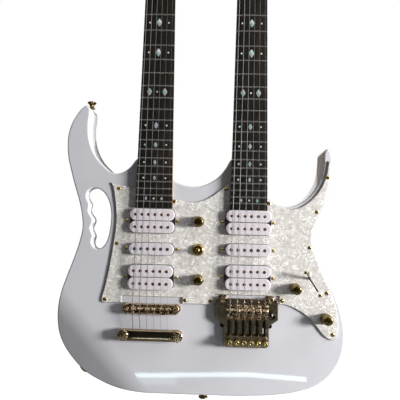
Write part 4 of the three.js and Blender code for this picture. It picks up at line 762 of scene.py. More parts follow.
def lacquer(name):
    """Gloss white paint under clear coat, with a faint cloud of colour and a little orange peel."""
    look = Finish(name, roughness=0.32, coat=1.0)
    tone = colours().lacquer
    cloud = look.noise(60, 2)
    look.base(look.ramp(cloud, [(0.3, scaled(tone, 0.965)), (0.7, scaled(tone, 1.02))]))
    look.rough(look.noise(9, 3), 0.26, 0.38)
    look.bump(look.noise(4.5, 1), 0.012, 0.35)
    return look


def pearl(name):
    """Pearl sheet: warm grey flakes of random shade, with crisp white streaks laid across them."""
    look = Finish(name, roughness=0.3, coat=0.8)
    size = sizes().flake_size / MM
    dark, light = colours().pearl_dark, colours().pearl_light
    node = look.add("ShaderNodeVectorMath", operation="MULTIPLY_ADD")
    look.feed(node.inputs[0], look.noise(size * 1.4, 2))
    node.inputs[1].default_value = (size * MM, size * MM, size * MM)
    look.feed(node.inputs[2], look.place)
    bent = node.outputs["Vector"]
    shade = look.cells(size, bent, "Red")
    small = look.cells(size * 0.45, bent, "Green")
    value = look.math("ADD", look.math("MULTIPLY", shade, 0.55), look.math("MULTIPLY", small, 0.45))
    ground = look.ramp(value, [(0.1, dark), (0.5, blended(dark, light, 0.25)),
                               (0.9, blended(dark, light, 0.5))])
    streaks = 0.0
    for turn in (0.45, -0.75, 1.5):
        drawn = look.stretched((1, 1, 0.3), (0, turn, 0))
        line = look.noise(size * 0.24, 1, vector=drawn, roughness=0.4)
        patch = look.noise(size * 0.7, 1, vector=drawn)
        line = look.math("MULTIPLY", look.ranged(line, 0, 1, 0.57, 0.62),
                         look.ranged(patch, 0, 1, 0.52, 0.6))
        streaks = look.math("MAXIMUM", line, streaks)
    look.base(look.mix(streaks, ground, (1.0, 0.99, 0.97)))
    look.rough(shade, 0.16, 0.42)
    look.bump(look.math("MULTIPLY", streaks, shade), 0.03, 0.25)
    return look


def clouded(name, low, high, roughness, coat=0.0, size=5, detail=2, stops=(0.3, 0.7)):
    """A plain stuff that drifts between two tones over lumps of a size."""
    look = Finish(name, roughness=roughness, coat=coat)
    look.base(look.ramp(look.noise(size, detail), [(stops[0], low), (stops[1], high)]))
    return look


def bobbin_plastic(name):
    """Moulded lavender-white plastic with a soft sheen and a fine grain."""
    tone = colours().plastic
    look = clouded(name, scaled(tone, 0.94), scaled(tone, 1.04), 0.34, 0.25, 7, 3)
    look.bump(look.noise(0.6, 2), 0.02, 0.3)
    return look


def ply_grey(name):
    """The pickguard's middle ply, a thin grey line on its edge."""
    return clouded(name, (0.16, 0.16, 0.16), (0.22, 0.22, 0.22), 0.45)


def ply_white(name):
    """The pickguard's white bottom ply."""
    return clouded(name, (0.66, 0.66, 0.66), (0.74, 0.74, 0.73), 0.45)


def plating(name, light, dark, roughness, patch, spread=0.15, relief=0.03):
    """Plated metal: patches of darker, slightly rougher metal in brighter, smoother plating."""
    look = Finish(name, roughness=roughness, metallic=1.0)
    mottle = look.noise(patch, 4, roughness=0.6)
    stops = [(0.5 - spread, dark), (0.5, blended(dark, light, 0.6)), (0.5 + spread, light)]
    look.base(look.ramp(mottle, stops))
    look.rough(look.noise(patch * 0.6, 3), roughness * 0.7, roughness * 1.5)
    look.bump(look.noise(patch * 0.35, 3), relief, 0.25)
    return look


def plated(light, dark, *rest):
    """A maker of plating from two (colour, factor) pairs and the plating's other numbers."""
    def make(name):
        """The plating under a name."""
        tones = [scaled(getattr(colours(), tone), factor) for tone, factor in (light, dark)]
        return plating(name, *tones, *rest)
    return make


def gold(name):
    """Bright gold plating."""
    return plating(name, colours().gold, blended(colours().bronze, colours().gold, 0.2), 0.2, 4)


def dark_gold(name):
    """A darker, browner copy of the gold for knobs and buttons: painted shade that stands in for their dark
    reflections.
    """
    light = scaled(blended(colours().gold, colours().bronze, 0.65), 0.8)
    return plating(name, light, scaled(colours().bronze, 0.45), 0.2, 3)


def wound_steel(name):
    """Strings: bright steel with the fine turns of the winding as bands up the string."""
    look = Finish(name, roughness=0.3, metallic=1.0)
    wave = look.add("ShaderNodeTexWave", wave_type="BANDS", bands_direction="Z")
    look.feed(wave.inputs["Vector"], look.place)
    wave.inputs["Scale"].default_value = 700
    tone = scaled(colours().steel, 0.38)
    look.base(look.mix(look.noise(20, 2), scaled(tone, 0.8), tone))
    look.rough(wave.outputs["Fac"], 0.35, 0.6)
    look.bump(wave.outputs["Fac"], 0.04, 0.4)
    return look


def rosewood(name):
    """Dark fretboard wood: brown streaks drawn out up the neck, with open pores."""
    look = Finish(name, roughness=0.42)
    tone = colours().rosewood
    grain = look.noise(5, 5, stretch=(1, 1, 0.06), roughness=0.65)
    pores = look.noise(1.1, 3, stretch=(1, 1, 0.08))
    brown = (0.024, 0.017, 0.011)
    streaks = look.ramp(grain, [(0.38, tone), (0.56, blended(tone, brown, 0.45)), (0.7, brown)])
    pits = look.ramp(pores, [(0.34, (0.25, 0.25, 0.25)), (0.44, (1, 1, 1))])
    look.base(look.mix(1.0, streaks, pits, "MULTIPLY"))
    look.rough(grain, 0.5, 0.75)
    look.shader.inputs["Specular IOR Level"].default_value = 0.1
    look.bump(pores, 0.05, 0.4)
    return look


def maple(name):
    """Pale neck wood under satin varnish: long growth lines and a faint cross figure."""
    look = Finish(name, roughness=0.38, coat=0.35)
    tone = colours().maple
    lines = look.noise(7, 5, stretch=(1, 1, 0.04), roughness=0.6)
    figure = look.noise(9, 2, stretch=(0.3, 0.3, 1.6))
    wood = look.ramp(lines, [(0.3, scaled(tone, 0.78)), (0.52, tone), (0.7, scaled(tone, 1.16))])
    look.base(look.mix(look.ranged(figure, 0, 0.22), wood, scaled(tone, 0.7)))
    look.bump(lines, 0.02, 0.3)
    return look


def raw_wood(name):
    """Bare pale wood inside the routed hollows."""
    look = Finish(name, roughness=0.75)
    lines = look.noise(9, 4, stretch=(1, 1, 0.05))
    look.base(look.ramp(lines, [(0.3, (0.25, 0.15, 0.075)), (0.7, (0.36, 0.23, 0.12))]))
    look.bump(lines, 0.08, 0.5)
    return look


def abalone(name):
    """Shell inlay: bands of green, blue, rose and silver that bend with a slow noise."""
    look = Finish(name, roughness=0.14, coat=1.0)
    tone = colours().abalone
    band = look.noise(3.2, 4, stretch=(1, 1, 0.6), roughness=0.6)
    stops = [(0.3, scaled(tone, 0.7)), (0.42, (0.2, 0.62, 0.46)), (0.5, (0.62, 0.66, 0.66)),
             (0.58, (0.5, 0.38, 0.55)), (0.68, (0.75, 0.78, 0.78)), (0.8, tone)]
    look.base(look.ramp(band, stops))
    look.shader.inputs["Metallic"].default_value = 0.35
    return look


def shell_white(name):
    """Silver-white shell for the small dots."""
    return clouded(name, (0.4, 0.42, 0.42), (0.82, 0.84, 0.83), 0.18, 1.0, 2.2, 3, (0.35, 0.65))


def ivory(name):
    """Pale plastic of the nut and the switch's tip."""
    tone = colours().ivory
    look = clouded(name, scaled(tone, 0.9), tone, 0.3, 0.3, 5, 3)
    look.bump(look.noise(0.8, 2), 0.01, 0.3)
    return look


def black_tape_and_bore_shade(name):
    """Dark tape with a fine grain; the same near-black is painted on the tremolo's slot and bore walls as
    painted shade.
    """
    tone = colours().black
    look = clouded(name, scaled(tone, 0.7), scaled(tone, 1.6), 0.42, 0.0, 4, 3)
    look.bump(look.noise(0.7, 2), 0.02, 0.4)
    return look


FINISHES = {
    "lacquer": lacquer, "pearl": pearl, "ply white": ply_white, "ply grey": ply_grey,
    "bobbin plastic": bobbin_plastic, "black plastic": black_tape_and_bore_shade, "ivory": ivory,
    "rosewood": rosewood, "maple": maple, "raw wood": raw_wood, "abalone": abalone,
    "shell white": shell_white, "gold": gold, "dark gold": dark_gold, "string steel": wound_steel,
    # Olive plating and the shaded mirror plating are darkened copies of the gold: painted shade for dark
    # reflections.
    "olive plating": plated(("olive", 1), ("olive", 0.5), 0.26, 6),
    "mirror bronze": plated(("olive", 1.05), ("olive", 0.7), 0.1, 9),
    # Near-black plating for the rods over the tremolo's slots and the arm socket: painted shade where the
    # slots and the socket fall dark.
    "black plating": plated(("olive", 0.25), ("olive", 0.06), 0.2, 2),
    "speckled gold": plated(("speckle", 1), ("bronze", 0.12), 0.25, 1.9, 0.05, 0.5),
    "speckled bronze": plated(("speckle", 0.6), ("bronze", 0.1), 0.25, 1.9, 0.05, 0.5),
    "pole copper": plated(("copper", 1), ("copper", 0.6), 0.35, 1.2),
    "pole steel": plated(("steel", 0.22), ("steel", 0.12), 0.4, 1.5),
    "fret steel": plated(("fret", 1), ("fret", 0.6), 0.25, 2),
}


# Body

CONTOUR_SHARES = ((-0.843, 0.29), (-0.41, 0.054))
CONTOUR_ANGLE = math.radians(18)
CONTOUR_ROLL = 111.0
CONTOUR_CUTS = 13
JACK_SHARES = (-0.81777, 0.05964)
JACK_TURN = -43.0
JACK_SETBACK = 7.5
POOL_DEPTH = 17.0
CONTROL_DEPTH = 33.0
POCKET_DEPTH = 16.0
ROUT_MARGIN = 3.0
ROUT_CORNER = 2.5
COLUMN_WIDTH = 32.0
FLARE_Y = FRONT_Y + 15.0
CAVITY_WIDTH = 76.0
CAVITY_FRONT_Y = 1.5
COVER_MARGIN = 9.0
COVER_THICKNESS = 2.0
CAVITY_TOP_Z = SADDLE_Z + 123.5
ROUTE_TOP_Z = SADDLE_Z + 18.1
ROUTE_BOTTOM_Z = SADDLE_Z - 25.5
ROUTE_WIDTH = 78.0
CAVITY_Z = (CAVITY_TOP_Z + ROUTE_BOTTOM_Z) / 2
CAVITY_HEIGHT = CAVITY_TOP_Z - ROUTE_BOTTOM_Z
TOM_POST_SPACING = 74.0
TOM_POST_DEPTH = 18.0
TAIL_STUD_SPACING = 81.5
TAIL_STUD_DEPTH = 20.0
TREM_STUD_SPACING = 71.0
KNOBS = ("knob_left_volume", "knob_left_tone", "knob_right_volume", "knob_right_tone")
PICKUPS = [f"pickup_{side}_{place}" for side in NECKS for place in ("neck", "middle", "bridge")]
BOBBIN_LENGTH = 69.0
BOBBIN_WIDTH = 18.2
BOBBIN_GAP = 0.8
BOBBIN_END_RADIUS = 8.9


def beyond_contour(x, z):
    """Distance beyond the forearm contour's crease, towards the lower left rim."""
    start, end = on_body(CONTOUR_SHARES)
    away = np.array([end[1] - start[1], start[0] - end[0]])
    away /= np.linalg.norm(away)
    return (np.asarray(x) - start[0]) * away[0] + (np.asarray(z) - start[1]) * away[1]


def contour_drop(beyond):
    """How far back the front lies beyond the crease: an arc, and then a straight slope."""
    end = CONTOUR_ROLL * math.sin(CONTOUR_ANGLE)
    rolled = np.clip(beyond, 0, end)
    arc = CONTOUR_ROLL - np.sqrt(CONTOUR_ROLL ** 2 - rolled ** 2)
    return arc + np.maximum(beyond - end, 0) * math.tan(CONTOUR_ANGLE)


def bend_contour(mesh):
    """Cuts edges along the contour's roll and bends the front of the mesh back beyond its crease."""
    start, end = on_body(CONTOUR_SHARES) * MM
    away = Vector((end[1] - start[1], 0, start[0] - end[0])).normalized()
    work = bmesh.new()
    work.from_mesh(mesh)
    for angle in np.linspace(0, CONTOUR_ANGLE, CONTOUR_CUTS):
        place = Vector((start[0], 0, start[1])) + CONTOUR_ROLL * MM * math.sin(angle) * away
        parts = [*work.verts, *work.edges, *work.faces]
        bmesh.ops.bisect_plane(work, geom=parts, dist=1e-7, plane_co=place, plane_no=away)
    work.to_mesh(mesh)
    work.free()
    points = np.empty(3 * len(mesh.vertices))
    mesh.vertices.foreach_get("co", points)
    points = points.reshape(-1, 3)
    beyond = beyond_contour(points[:, 0] / MM, points[:, 2] / MM)
    points[:, 1] += np.where(points[:, 1] < 0, contour_drop(beyond) * MM, 0)
    mesh.vertices.foreach_set("co", points.ravel())
    mesh.update()


def heel_outline(neck_x, grow):
    """The neck heel's tapered plan from the fretboard's end up past the body, grown by a clearance."""
    low_z, high_z = NECK_END_Z - FIT_GAP, BODY_HIGH[2]
    low, high = half_width(low_z) + grow, half_width(high_z) + grow
    return np.array([[neck_x - low, low_z], [neck_x + low, low_z], [neck_x + high, high_z],
                     [neck_x - high, high_z]])


def jack_matrix():
    """The output jack's frame: its mouth looks along -X and is turned below level, out of the rim."""
    x, z = on_body([JACK_SHARES])[0]
    return turned_at(JACK_TURN, "Y", (x, JACK_SETBACK, z))


def bar_x(radius, from_x, to_x, slot=0):
    """A plain round bar along X."""
    bar = spun([(0, from_x), (radius, from_x), (radius, to_x), (0, to_x)], slots=slot)
    return bar.placed(turned_at(-90, "Z"))


def routed(outline, depth):
    """A hollow of bare wood from the front down to a depth."""
    return prism(outline, FRONT_Y + depth, FRONT_Y - OVERRUN, 1)


def body_cuts():
    """Every hollow of the body: neck pockets, pickup pool, control rout, toggle column, tremolo
    route, back cavity and its cover's step, and the bores of posts, studs and the jack."""
    cuts = [routed(heel_outline(x, FIT_GAP), POCKET_DEPTH) for x in NECKS.values()]
    boxes = [box_mm(node) for node in PICKUPS]
    left = min(low[0] for low, _ in boxes) - ROUT_MARGIN
    right = max(high[0] for _, high in boxes) + ROUT_MARGIN
    bottom = min(low[2] for low, _ in boxes) - ROUT_MARGIN
    top = NECK_END_Z + ROUT_MARGIN
    pool = rounded_rectangle((left + right) / 2, (top + bottom) / 2, right - left, top - bottom, ROUT_CORNER)
    cuts.append(routed(pool, POOL_DEPTH))
    cuts.append(routed(on_body(CONTROL_ROUT_SHARES), CONTROL_DEPTH))
    toggle_x = centre_mm("toggle_switch")[0]
    column = rounded_rectangle(toggle_x, (top + bottom) / 2, COLUMN_WIDTH, top - bottom - 2 * ROUT_MARGIN,
                               ROUT_CORNER)
    cuts.append(routed(column, CONTROL_DEPTH))
    route = rounded_rectangle(TREM_X, (ROUTE_TOP_Z + ROUTE_BOTTOM_Z) / 2, ROUTE_WIDTH,
                              ROUTE_TOP_Z - ROUTE_BOTTOM_Z, ROUT_CORNER)
    cuts.append(prism(route, BACK_Y + OVERRUN, FRONT_Y - OVERRUN, 1))
    cavity = rounded_rectangle(TREM_X, CAVITY_Z, CAVITY_WIDTH, CAVITY_HEIGHT, ROUT_CORNER)
    cuts.append(prism(cavity, BACK_Y + OVERRUN, CAVITY_FRONT_Y, 1))
    grow = 2 * COVER_MARGIN + 2 * FIT_GAP
    step = rounded_rectangle(TREM_X, CAVITY_Z, CAVITY_WIDTH + grow, CAVITY_HEIGHT + grow, ROUT_CORNER)
    cuts.append(prism(step, BACK_Y + OVERRUN, BACK_Y - COVER_THICKNESS - FIT_GAP))
    posts, studs = both_sides(BRIDGE_X, TOM_POST_SPACING), both_sides(BRIDGE_X, TAIL_STUD_SPACING)
    for post_x, stud_x in zip(posts, studs):
        cuts.append(routed(circle(post_x, SADDLE_Z, 3.5, 24), TOM_POST_DEPTH + FIT_GAP))
        cuts.append(routed(circle(stud_x, TAIL_Z, 5.8, 24), TAIL_STUD_DEPTH + FIT_GAP))
    cuts.append(bar_x(9.1, -24, 0).placed(jack_matrix()))
    cuts.append(bar_x(5.9, -OVERRUN, 24.3, slot=1).placed(jack_matrix()))
    return cuts


def dress_body():
    """The body: the outline carried round a profile with quarter-round edges, then routed."""
    outline = smooth_curve(on_body(BODY_SHARES), 5)
    slot = smooth_curve(on_body(SLOT_SHARES), 6)
    rim = rounded_rim(BACK_Y, FRONT_Y, sizes().edge_radius / MM, steps=6)
    rim = np.insert(rim, np.searchsorted(-rim[:, 1], -FLARE_Y), [[0, FLARE_Y]], axis=0)
    skin = plate(outline, rim, holes=[slot], flare=(FLARE_Y, sizes().slot_flare / MM))
    skin.smooth[:] = True
    add_piece("lacquered_body", skin, ["lacquer", "raw wood"], "guitar", ("body",),
              cuts=body_cuts(), sharp=30, bend=bend_contour)
    top = TREM_FRONT_Y - 2 * FIT_GAP
    profile = softened([(0, FRONT_Y + SINK), (6.4, FRONT_Y + SINK), (6.4, FRONT_Y - 1.2),
                        (3.4, FRONT_Y - 1.2), (3.4, top), (4.8, top), (4.8, top - 1.1),
                        (2.2, top - 1.3), (2.2, top - 0.3), (0, top - 0.3)], 0.3, 3)
    studs = [spun(profile, 40).at(x, 0, TREM_PIVOT_Z) for x in both_sides(TREM_X, TREM_STUD_SPACING)]
    add_piece("tremolo_studs", joined(studs), ["speckled gold"], "guitar")


# Pickguard

GUARD_BOTTOM_Z = SADDLE_Z + 7.3
TREM_NOTCH = (TREM_X - 48.8, TREM_X + 48.8, SADDLE_Z + 22.9)
TOM_NOTCH = (BRIDGE_X - 45.75, BRIDGE_X + 45.75, SADDLE_Z + 16.75)
SWITCH_TURN = 57.5
SWITCH_AT = on_body([(0.7836, 0.3857)])[0]
SWITCH_SLOT = (28.0, 2.2)
SWITCH_SCREW_SPACING = 40.0
PICKUP_SCREW_SPACING = 77.5


def guard_outline():
    """The pickguard's edge: four smooth runs, the tremolo's notch and the fixed bridge's notch."""
    runs = [smooth_curve(on_body(run), 6, closed=False) for run in
            (GUARD_LEFT_SHARES, GUARD_CENTRE_SHARES, GUARD_HORN_SHARES, GUARD_RIGHT_SHARES)]
    trem_left, trem_right, trem_top = TREM_NOTCH
    tom_left, tom_right, tom_top = TOM_NOTCH
    notches = [[trem_right, GUARD_BOTTOM_Z + 3.6], [trem_right, trem_top], [trem_left, trem_top],
               [trem_left, GUARD_BOTTOM_Z], [tom_right, GUARD_BOTTOM_Z], [tom_right, tom_top],
               [tom_left, tom_top], [tom_left, GUARD_BOTTOM_Z]]
    return np.vstack([*runs, notches])


def guard_screw_places():
    """Screws along the guard's edge, beside the necks and beside the bridges' notches."""
    places = [tuple(place) for place in on_body(GUARD_SCREW_SHARES)]
    for neck_x, side, share in ((LEFT_X, 1, 0.658), (RIGHT_X, -2, 0.705), (RIGHT_X, 1, 0.659)):
        z = BODY_LOW[2] + share * BODY_LENGTH
        places.append((neck_x + np.sign(side) * half_width(z) + side * 3.4, z))
    return places + [(TOM_NOTCH[1] + 5, GUARD_BOTTOM_Z + 6), (TREM_NOTCH[0] - 5, GUARD_BOTTOM_Z + 6),
                     (TREM_NOTCH[1] + 5, GUARD_BOTTOM_Z + 9.6)]


def switch_matrix():
    """The five-way switch's frame: along the slot, about the slot's middle."""
    return turned_at(SWITCH_TURN, "Y", (SWITCH_AT[0], 0, SWITCH_AT[1]))


def dress_guard():
    """The pickguard: three plies with a bevelled edge, its openings, and its screws."""
    bevel = sizes().guard_bevel / MM
    lower, upper = GUARD_BACK_Y - 0.7, GUARD_BACK_Y - 1.2
    slope = bevel / (GUARD_THICKNESS - 0.4)
    rim = [(0, GUARD_BACK_Y), (0, GUARD_BACK_Y - 0.4), (slope * 0.3, lower), (slope * 0.8, upper),
           (bevel - 0.12, GUARD_FRONT_Y + 0.12), (bevel + 0.1, GUARD_FRONT_Y), (bevel + 0.5, GUARD_FRONT_Y)]
    skin = plate(guard_outline(), rim, slots=(1, 2, 2, 0, 0, 0), cap_slots=(1, 0))
    deep, out = GUARD_BACK_Y + OVERRUN, GUARD_FRONT_Y - OVERRUN
    cuts = [prism(heel_outline(x, 2 * FIT_GAP), deep, out, 1) for x in NECKS.values()]
    screws = []
    for node in PICKUPS:
        low, high, middle = span_mm(node)
        hole = rounded_rectangle(middle[0], middle[2], BOBBIN_LENGTH + 1.4, high[2] - low[2] + 1.4,
                                 BOBBIN_END_RADIUS)
        cuts.append(prism(hole, deep, out, 1))
        for x in both_sides(middle[0], PICKUP_SCREW_SPACING):
            screws.append(screw_head(2.6, 1.4, x, GUARD_FRONT_Y, middle[2], cross=False))
            screws.append(rod((x, GUARD_BACK_Y - SINK, middle[2]), (x, GUARD_BACK_Y + 8.7, middle[2]),
                              1.4, 12))
    for node, radius in [*((knob, 3.4) for knob in KNOBS), ("toggle_switch", 6.4)]:
        x, _, z = centre_mm(node)
        cuts.append(prism(circle(x, z, radius), deep, out, 1))
    slot = prism(rounded_rectangle(0, 0, *SWITCH_SLOT, 1.0, 4), deep, out, 1)
    cuts.append(slot.placed(switch_matrix()))
    add_piece("pearl_guard", skin, ["pearl", "ply white", "ply grey"], "guitar", ("pickguard",),
              cuts=cuts, sharp=25)
    screws += [screw_head(3.1, 1.3, x, GUARD_FRONT_Y, z) for x, z in guard_screw_places()]
    screws += [screw_head(2.6, 1.3, x, GUARD_FRONT_Y, 0).placed(switch_matrix())
               for x in both_sides(0, SWITCH_SCREW_SPACING)]
    add_piece("guard_screws", joined(screws), ["gold"], "guitar")
    cheeks = []
    for side in (-1, 1):
        inner = side * (SWITCH_SLOT[1] / 2 + FIT_GAP)
        near, far = sorted((inner, inner + side * 1.5))
        plan = softened([(-18, near), (18, near), (18, far), (-18, far)], 0.3, 2, closed=True)
        cheek = prism(plan, GUARD_FRONT_Y + 20, GUARD_BACK_Y - SINK / 2)
        cheeks.append(cheek.placed(switch_matrix()))
    add_piece("switch_frame", joined(cheeks), ["fret steel"], "guitar")


# Pickups

POLE_PITCH = 10.0


def pole_screw(radius, x, y, z, socket):
    """A pole's head: eased at the edge, with a hexagonal socket or a slot across it."""
    ring = np.array([1.0, 1.0, 0.9, 0.62, 0.5, 0.5, 0.001])[:, None]
    height = np.array([-1.0, 0.3, 0.5, 0.5, 0.5, 0.0, 0.0])[:, None]
    angle = np.linspace(0, 2 * math.pi, 24, endpoint=False)[None, :]
    facet = np.cos(math.pi / 6) / np.cos((angle + math.pi / 6) % (math.pi / 3) - math.pi / 6)
    inner = np.where(ring < 0.6, ring * facet, ring) if socket else ring * np.ones_like(angle)
    level = np.broadcast_to(height, inner.shape).copy()
    if not socket:
        level[1:] = np.minimum(np.where(ring >= 0.9, height, 0.5), 0.5)[1:] * np.ones_like(angle)
        level[1:] -= 0.45 * (np.abs(inner * np.sin(angle)) < 0.22)[1:]
    grid = np.stack([x + radius * inner * np.cos(angle), y - level, z + radius * inner * np.sin(angle)], -1)
    return capped(grid)


def dress_pickups():
    """Pickups: rounded bobbins with their pole pieces over a dark wound core and a metal base."""
    for node in PICKUPS:
        low, high, (x, _, z) = span_mm(node)
        top, base, height = low[1] + 0.5, high[1], high[2] - low[2]
        double = height > 1.5 * BOBBIN_WIDTH
        rows = both_sides(z, BOBBIN_WIDTH + BOBBIN_GAP) if double else (z,)
        rim = rounded_rim(top + 4.5, top, 1.3, back_radius=0.4, ledge=0.3)
        shells, poles = [], []
        for row in rows:
            outline = rounded_rectangle(x, row, BOBBIN_LENGTH, BOBBIN_WIDTH, BOBBIN_END_RADIUS, 10)
            shells.append(plate(outline, rim))
            for s in range(STRING_COUNT):
                pole_x = x + string_x(s, (STRING_COUNT - 1) * POLE_PITCH)
                poles.append(pole_screw(2.3 if double else 2.5, pole_x, top, row, double))
        core = rounded_rectangle(x, z, BOBBIN_LENGTH - 2, height - 2, 7.5, 8)
        tape = prism(core, base - 2 + SINK, top + 2.5, 1)
        foot = plate(rounded_rectangle(x, z, 80, 12, 3),
                     [(0.2, base), (0, base - 0.3), (0, base - 1.7), (0.2, base - 2)],
                     slots=2, cap_slots=(2, 2))
        floor = prism(rounded_rectangle(x, z, BOBBIN_LENGTH, height, 8.9), base, base - 2, 2)
        skins = joined(shells) + tape + foot + floor + joined(poles).painted(3)
        metal = "pole copper" if double else "pole steel"
        add_piece(f"wound_{node}", skins, ["bobbin plastic", "black plastic", "fret steel", metal],
                  "guitar", (node,))


# Controls

SWITCH_LEAN = 30.0
SWITCH_PIVOT_Y = GUARD_FRONT_Y + 16.0
SWITCH_REACH = 31.0 / math.cos(math.radians(SWITCH_LEAN))


def dress_knobs():
    """Knobs: a ridged barrel under a domed cap, with a flared skirt round its foot, on a shaft."""
    ridges = sizes().knob_ridges
    for node in KNOBS:
        low, high, middle = span_mm(node)
        top, skirt = low[1], GUARD_FRONT_Y - 1.2
        profile = softened([(0, skirt), (8.3, skirt), (8.3, skirt - 1.6), (7.7, skirt - 2.2),
                            (7.6, top + 4.2), (7.5, top + 3.6), (7.2, top + 2.4), (5.6, top + 0.6),
                            (3.0, top + 0.1), (0, top)], 0.6, 4)
        ridged = (profile[:, 0] > 7.45) & (profile[:, 1] < skirt - 2.3) & (profile[:, 1] > top + 3.4)
        barrel = spun(profile, 4 * ridges, ridges, 0.45 * ridged)
        shaft = spun([(0, high[1]), (3, high[1]), (3, skirt + SINK), (0, skirt + SINK)], 24)
        add_piece(f"turned_{node}", (barrel + shaft).at(middle[0], 0, middle[2]), ["dark gold"], node,
                  (node,))


def dress_toggle():
    """Toggle switch: can, bush, dress ring and ridged nut round a flared mouth, and its lever."""
    low, high, middle = span_mm("toggle_switch")
    top, back, ring = low[1], high[1], GUARD_FRONT_Y - FIT_GAP
    nut, seat, pivot = ring - 2.0, 3.5, GUARD_FRONT_Y + 6.0
    profile = softened([
        (0, back), (8, back), (8, GUARD_FRONT_Y + 2.8), (6, GUARD_FRONT_Y + 2.8), (6, ring),
        (9.2, ring), (9.2, ring - 0.7), (8.6, ring - 1.4), (7.6, nut), (7.4, nut), (7.4, top + 0.6),
        (6.8, top), (5.4, top), (5.0, top + 0.5), (seat, pivot - 3.2), (seat, pivot + seat),
        (0, pivot + seat)], 0.25, 2)
    grip = (profile[:, 0] > 7) & (profile[:, 1] < nut + 0.01)
    add_piece("turned_toggle_switch", spun(profile, 96, 24, 0.5 * grip).at(middle[0], 0, middle[2]),
              ["gold"], "guitar", ("toggle_switch",))
    low, _, middle = span_mm("toggle_lever")
    angle = np.linspace(math.pi / 2, -0.85, 12)
    ball = np.stack([3.2 * np.cos(angle), pivot + 3.2 * np.sin(angle)], -1)
    turn, tip_y = np.linspace(-0.5, math.pi / 2, 14), low[1] + 3.6
    tip = np.stack([3.6 * np.cos(turn), tip_y - 3.6 * np.sin(turn)], -1)
    profile = np.vstack([ball, [(1.9, pivot - 4.5), (1.7, tip_y + 4)], tip])
    add_piece("turned_toggle_lever", spun(profile, 40).at(middle[0], 0, middle[2]), ["dark gold"],
              "toggle_lever", ("toggle_lever",))


def dress_pickup_switch():
    """The five-way switch's lever: a flat blade with its pin, leaning, under a grooved tip."""
    reach = SWITCH_REACH
    plan = softened([(-2, 0), (-2, reach + 2), (2, reach + 2), (2, 0)], 0.8, 3, closed=True)
    blade = prism(plan, -0.6, 0.6, 1).placed(turned_at(90, "X"))
    pin = rod((0, 0, -2.9), (0, 0, 2.9), 1.5, 20, 1)
    profile = softened([(0, 1 - reach), (2.4, 0.5 - reach), (3.3, -reach), (3.4, -reach - 1.6),
                        (2.9, -reach - 2.4), (3.1, -reach - 4), (3.0, -reach - 6.4),
                        (2.2, -reach - 7.9), (0, -reach - 8)], 0.6, 3)
    lean = turned_at(-SWITCH_LEAN, "Z", (0, SWITCH_PIVOT_Y, 0))
    lever = (spun(profile, 36) + blade + pin).placed(switch_matrix() @ lean)
    add_piece("shaped_switch_lever", lever, ["ivory", "fret steel"], "pickup_switch_lever",
              ("pickup_switch_lever",))


# Necks

HEEL_LENGTH = 78.0
HEEL_BLEND = 26.0
HEEL_SHAPE = 0.25
SHAFT_SHAPE = 0.85
SHAFT_DEPTH = 15.2
SHAFT_THINNING = 1.8
TUNER_FIRST = 29.0
TUNER_PITCH = 26.0
KEY_DROP = 7.2


def neck_ring(neck_x, z, depth, shape):
    """One section of a neck: a half superellipse behind a flat face. A low shape is boxy."""
    angle = np.linspace(0, math.pi, 40)
    across = -bent(np.cos(angle), shape) * half_width(min(z, NUT_Z))
    down = np.where((angle > 0) & (angle < math.pi), np.sin(angle) ** shape, 0) * depth
    return np.stack([neck_x + across, NECK_FACE_Y + down, np.full(len(angle), z)], -1)


def tuner_place(index):
    """Where each tuner stands on the headstock: across from the middle, and up from the nut."""
    return string_x(index, NUT_SPREAD), TUNER_FIRST + index * TUNER_PITCH


def neck_shaft(neck_x):
    """A neck from its square heel to the headstock, as one closed skin of rings."""
    heel_depth = POCKET_DEPTH + 10 - BOARD_THICKNESS - 2 * FIT_GAP
    heel_top = NECK_END_Z + HEEL_LENGTH
    shaft_foot = heel_top + HEEL_BLEND
    rings = [neck_ring(neck_x, NECK_END_Z, heel_depth, HEEL_SHAPE)]
    for step in np.linspace(0, 1, 9)[:-1]:
        share = eased(step)
        depth = heel_depth + (SHAFT_DEPTH - heel_depth) * share
        shape = HEEL_SHAPE + (SHAFT_SHAPE - HEEL_SHAPE) * share
        rings.append(neck_ring(neck_x, heel_top + HEEL_BLEND * step, depth, shape))
    for z in np.linspace(shaft_foot, NUT_Z - HEAD_THICKNESS, 10):
        share = (z - shaft_foot) / (NUT_Z - shaft_foot)
        rings.append(neck_ring(neck_x, z, SHAFT_DEPTH - SHAFT_THINNING * share, SHAFT_SHAPE))
    rings.append(neck_ring(neck_x, HEAD_Z + 3, HEAD_THICKNESS, SHAFT_SHAPE))
    return capped(np.stack(rings))


def dress_necks():
    """Necks: shafts joined to tilted headstocks, with the tuners' ferrules and gear cases."""
    outline = smooth_curve(np.array(HEAD_SHARES) * [HEAD_HALF_WIDTH, HEAD_LENGTH], 5, closed=False)
    rim = rounded_rim(HEAD_THICKNESS, 0, 1.5, steps=4, ledge=0.4)
    board = plate(outline, rim, slots=[0] * (len(rim) - 6) + [1] * 5, cap_slots=(0, 1))
    ferrule = spun(softened([(3.1, 0.3), (6.4, 0.3), (6.4, -0.7), (5.6, -1.6), (3.4, -1.6),
                             (3.1, -1.2), (3.1, 0.3)], 0.3, 2), 36)
    case = pillow((7.5, 5.0, 9.0), 0.22, 14, 36)
    fittings = []
    for t in range(STRING_COUNT):
        u, v = tuner_place(t)
        fittings += [ferrule.at(u, 0, v), case.at(u, HEAD_THICKNESS + 4.5, v - 2),
                     back_screw(1.4, 0.7, u, HEAD_THICKNESS + 9.4, v + 5.6, sides=20)]
    for side, neck_x in NECKS.items():
        matrix = head_matrix(neck_x)
        add_piece(f"shaped_neck_{side}", neck_shaft(neck_x), ["maple", "lacquer"], "guitar",
                  (f"neck_{side}",), joins=[board.placed(matrix)], sharp=38)
        add_piece(f"tuner_cases_{side}", joined(fittings).placed(matrix), ["gold"], "guitar")


INLAY_FRETS = (3, 5, 7, 9, 12, 15, 17, 19, 21, 24)


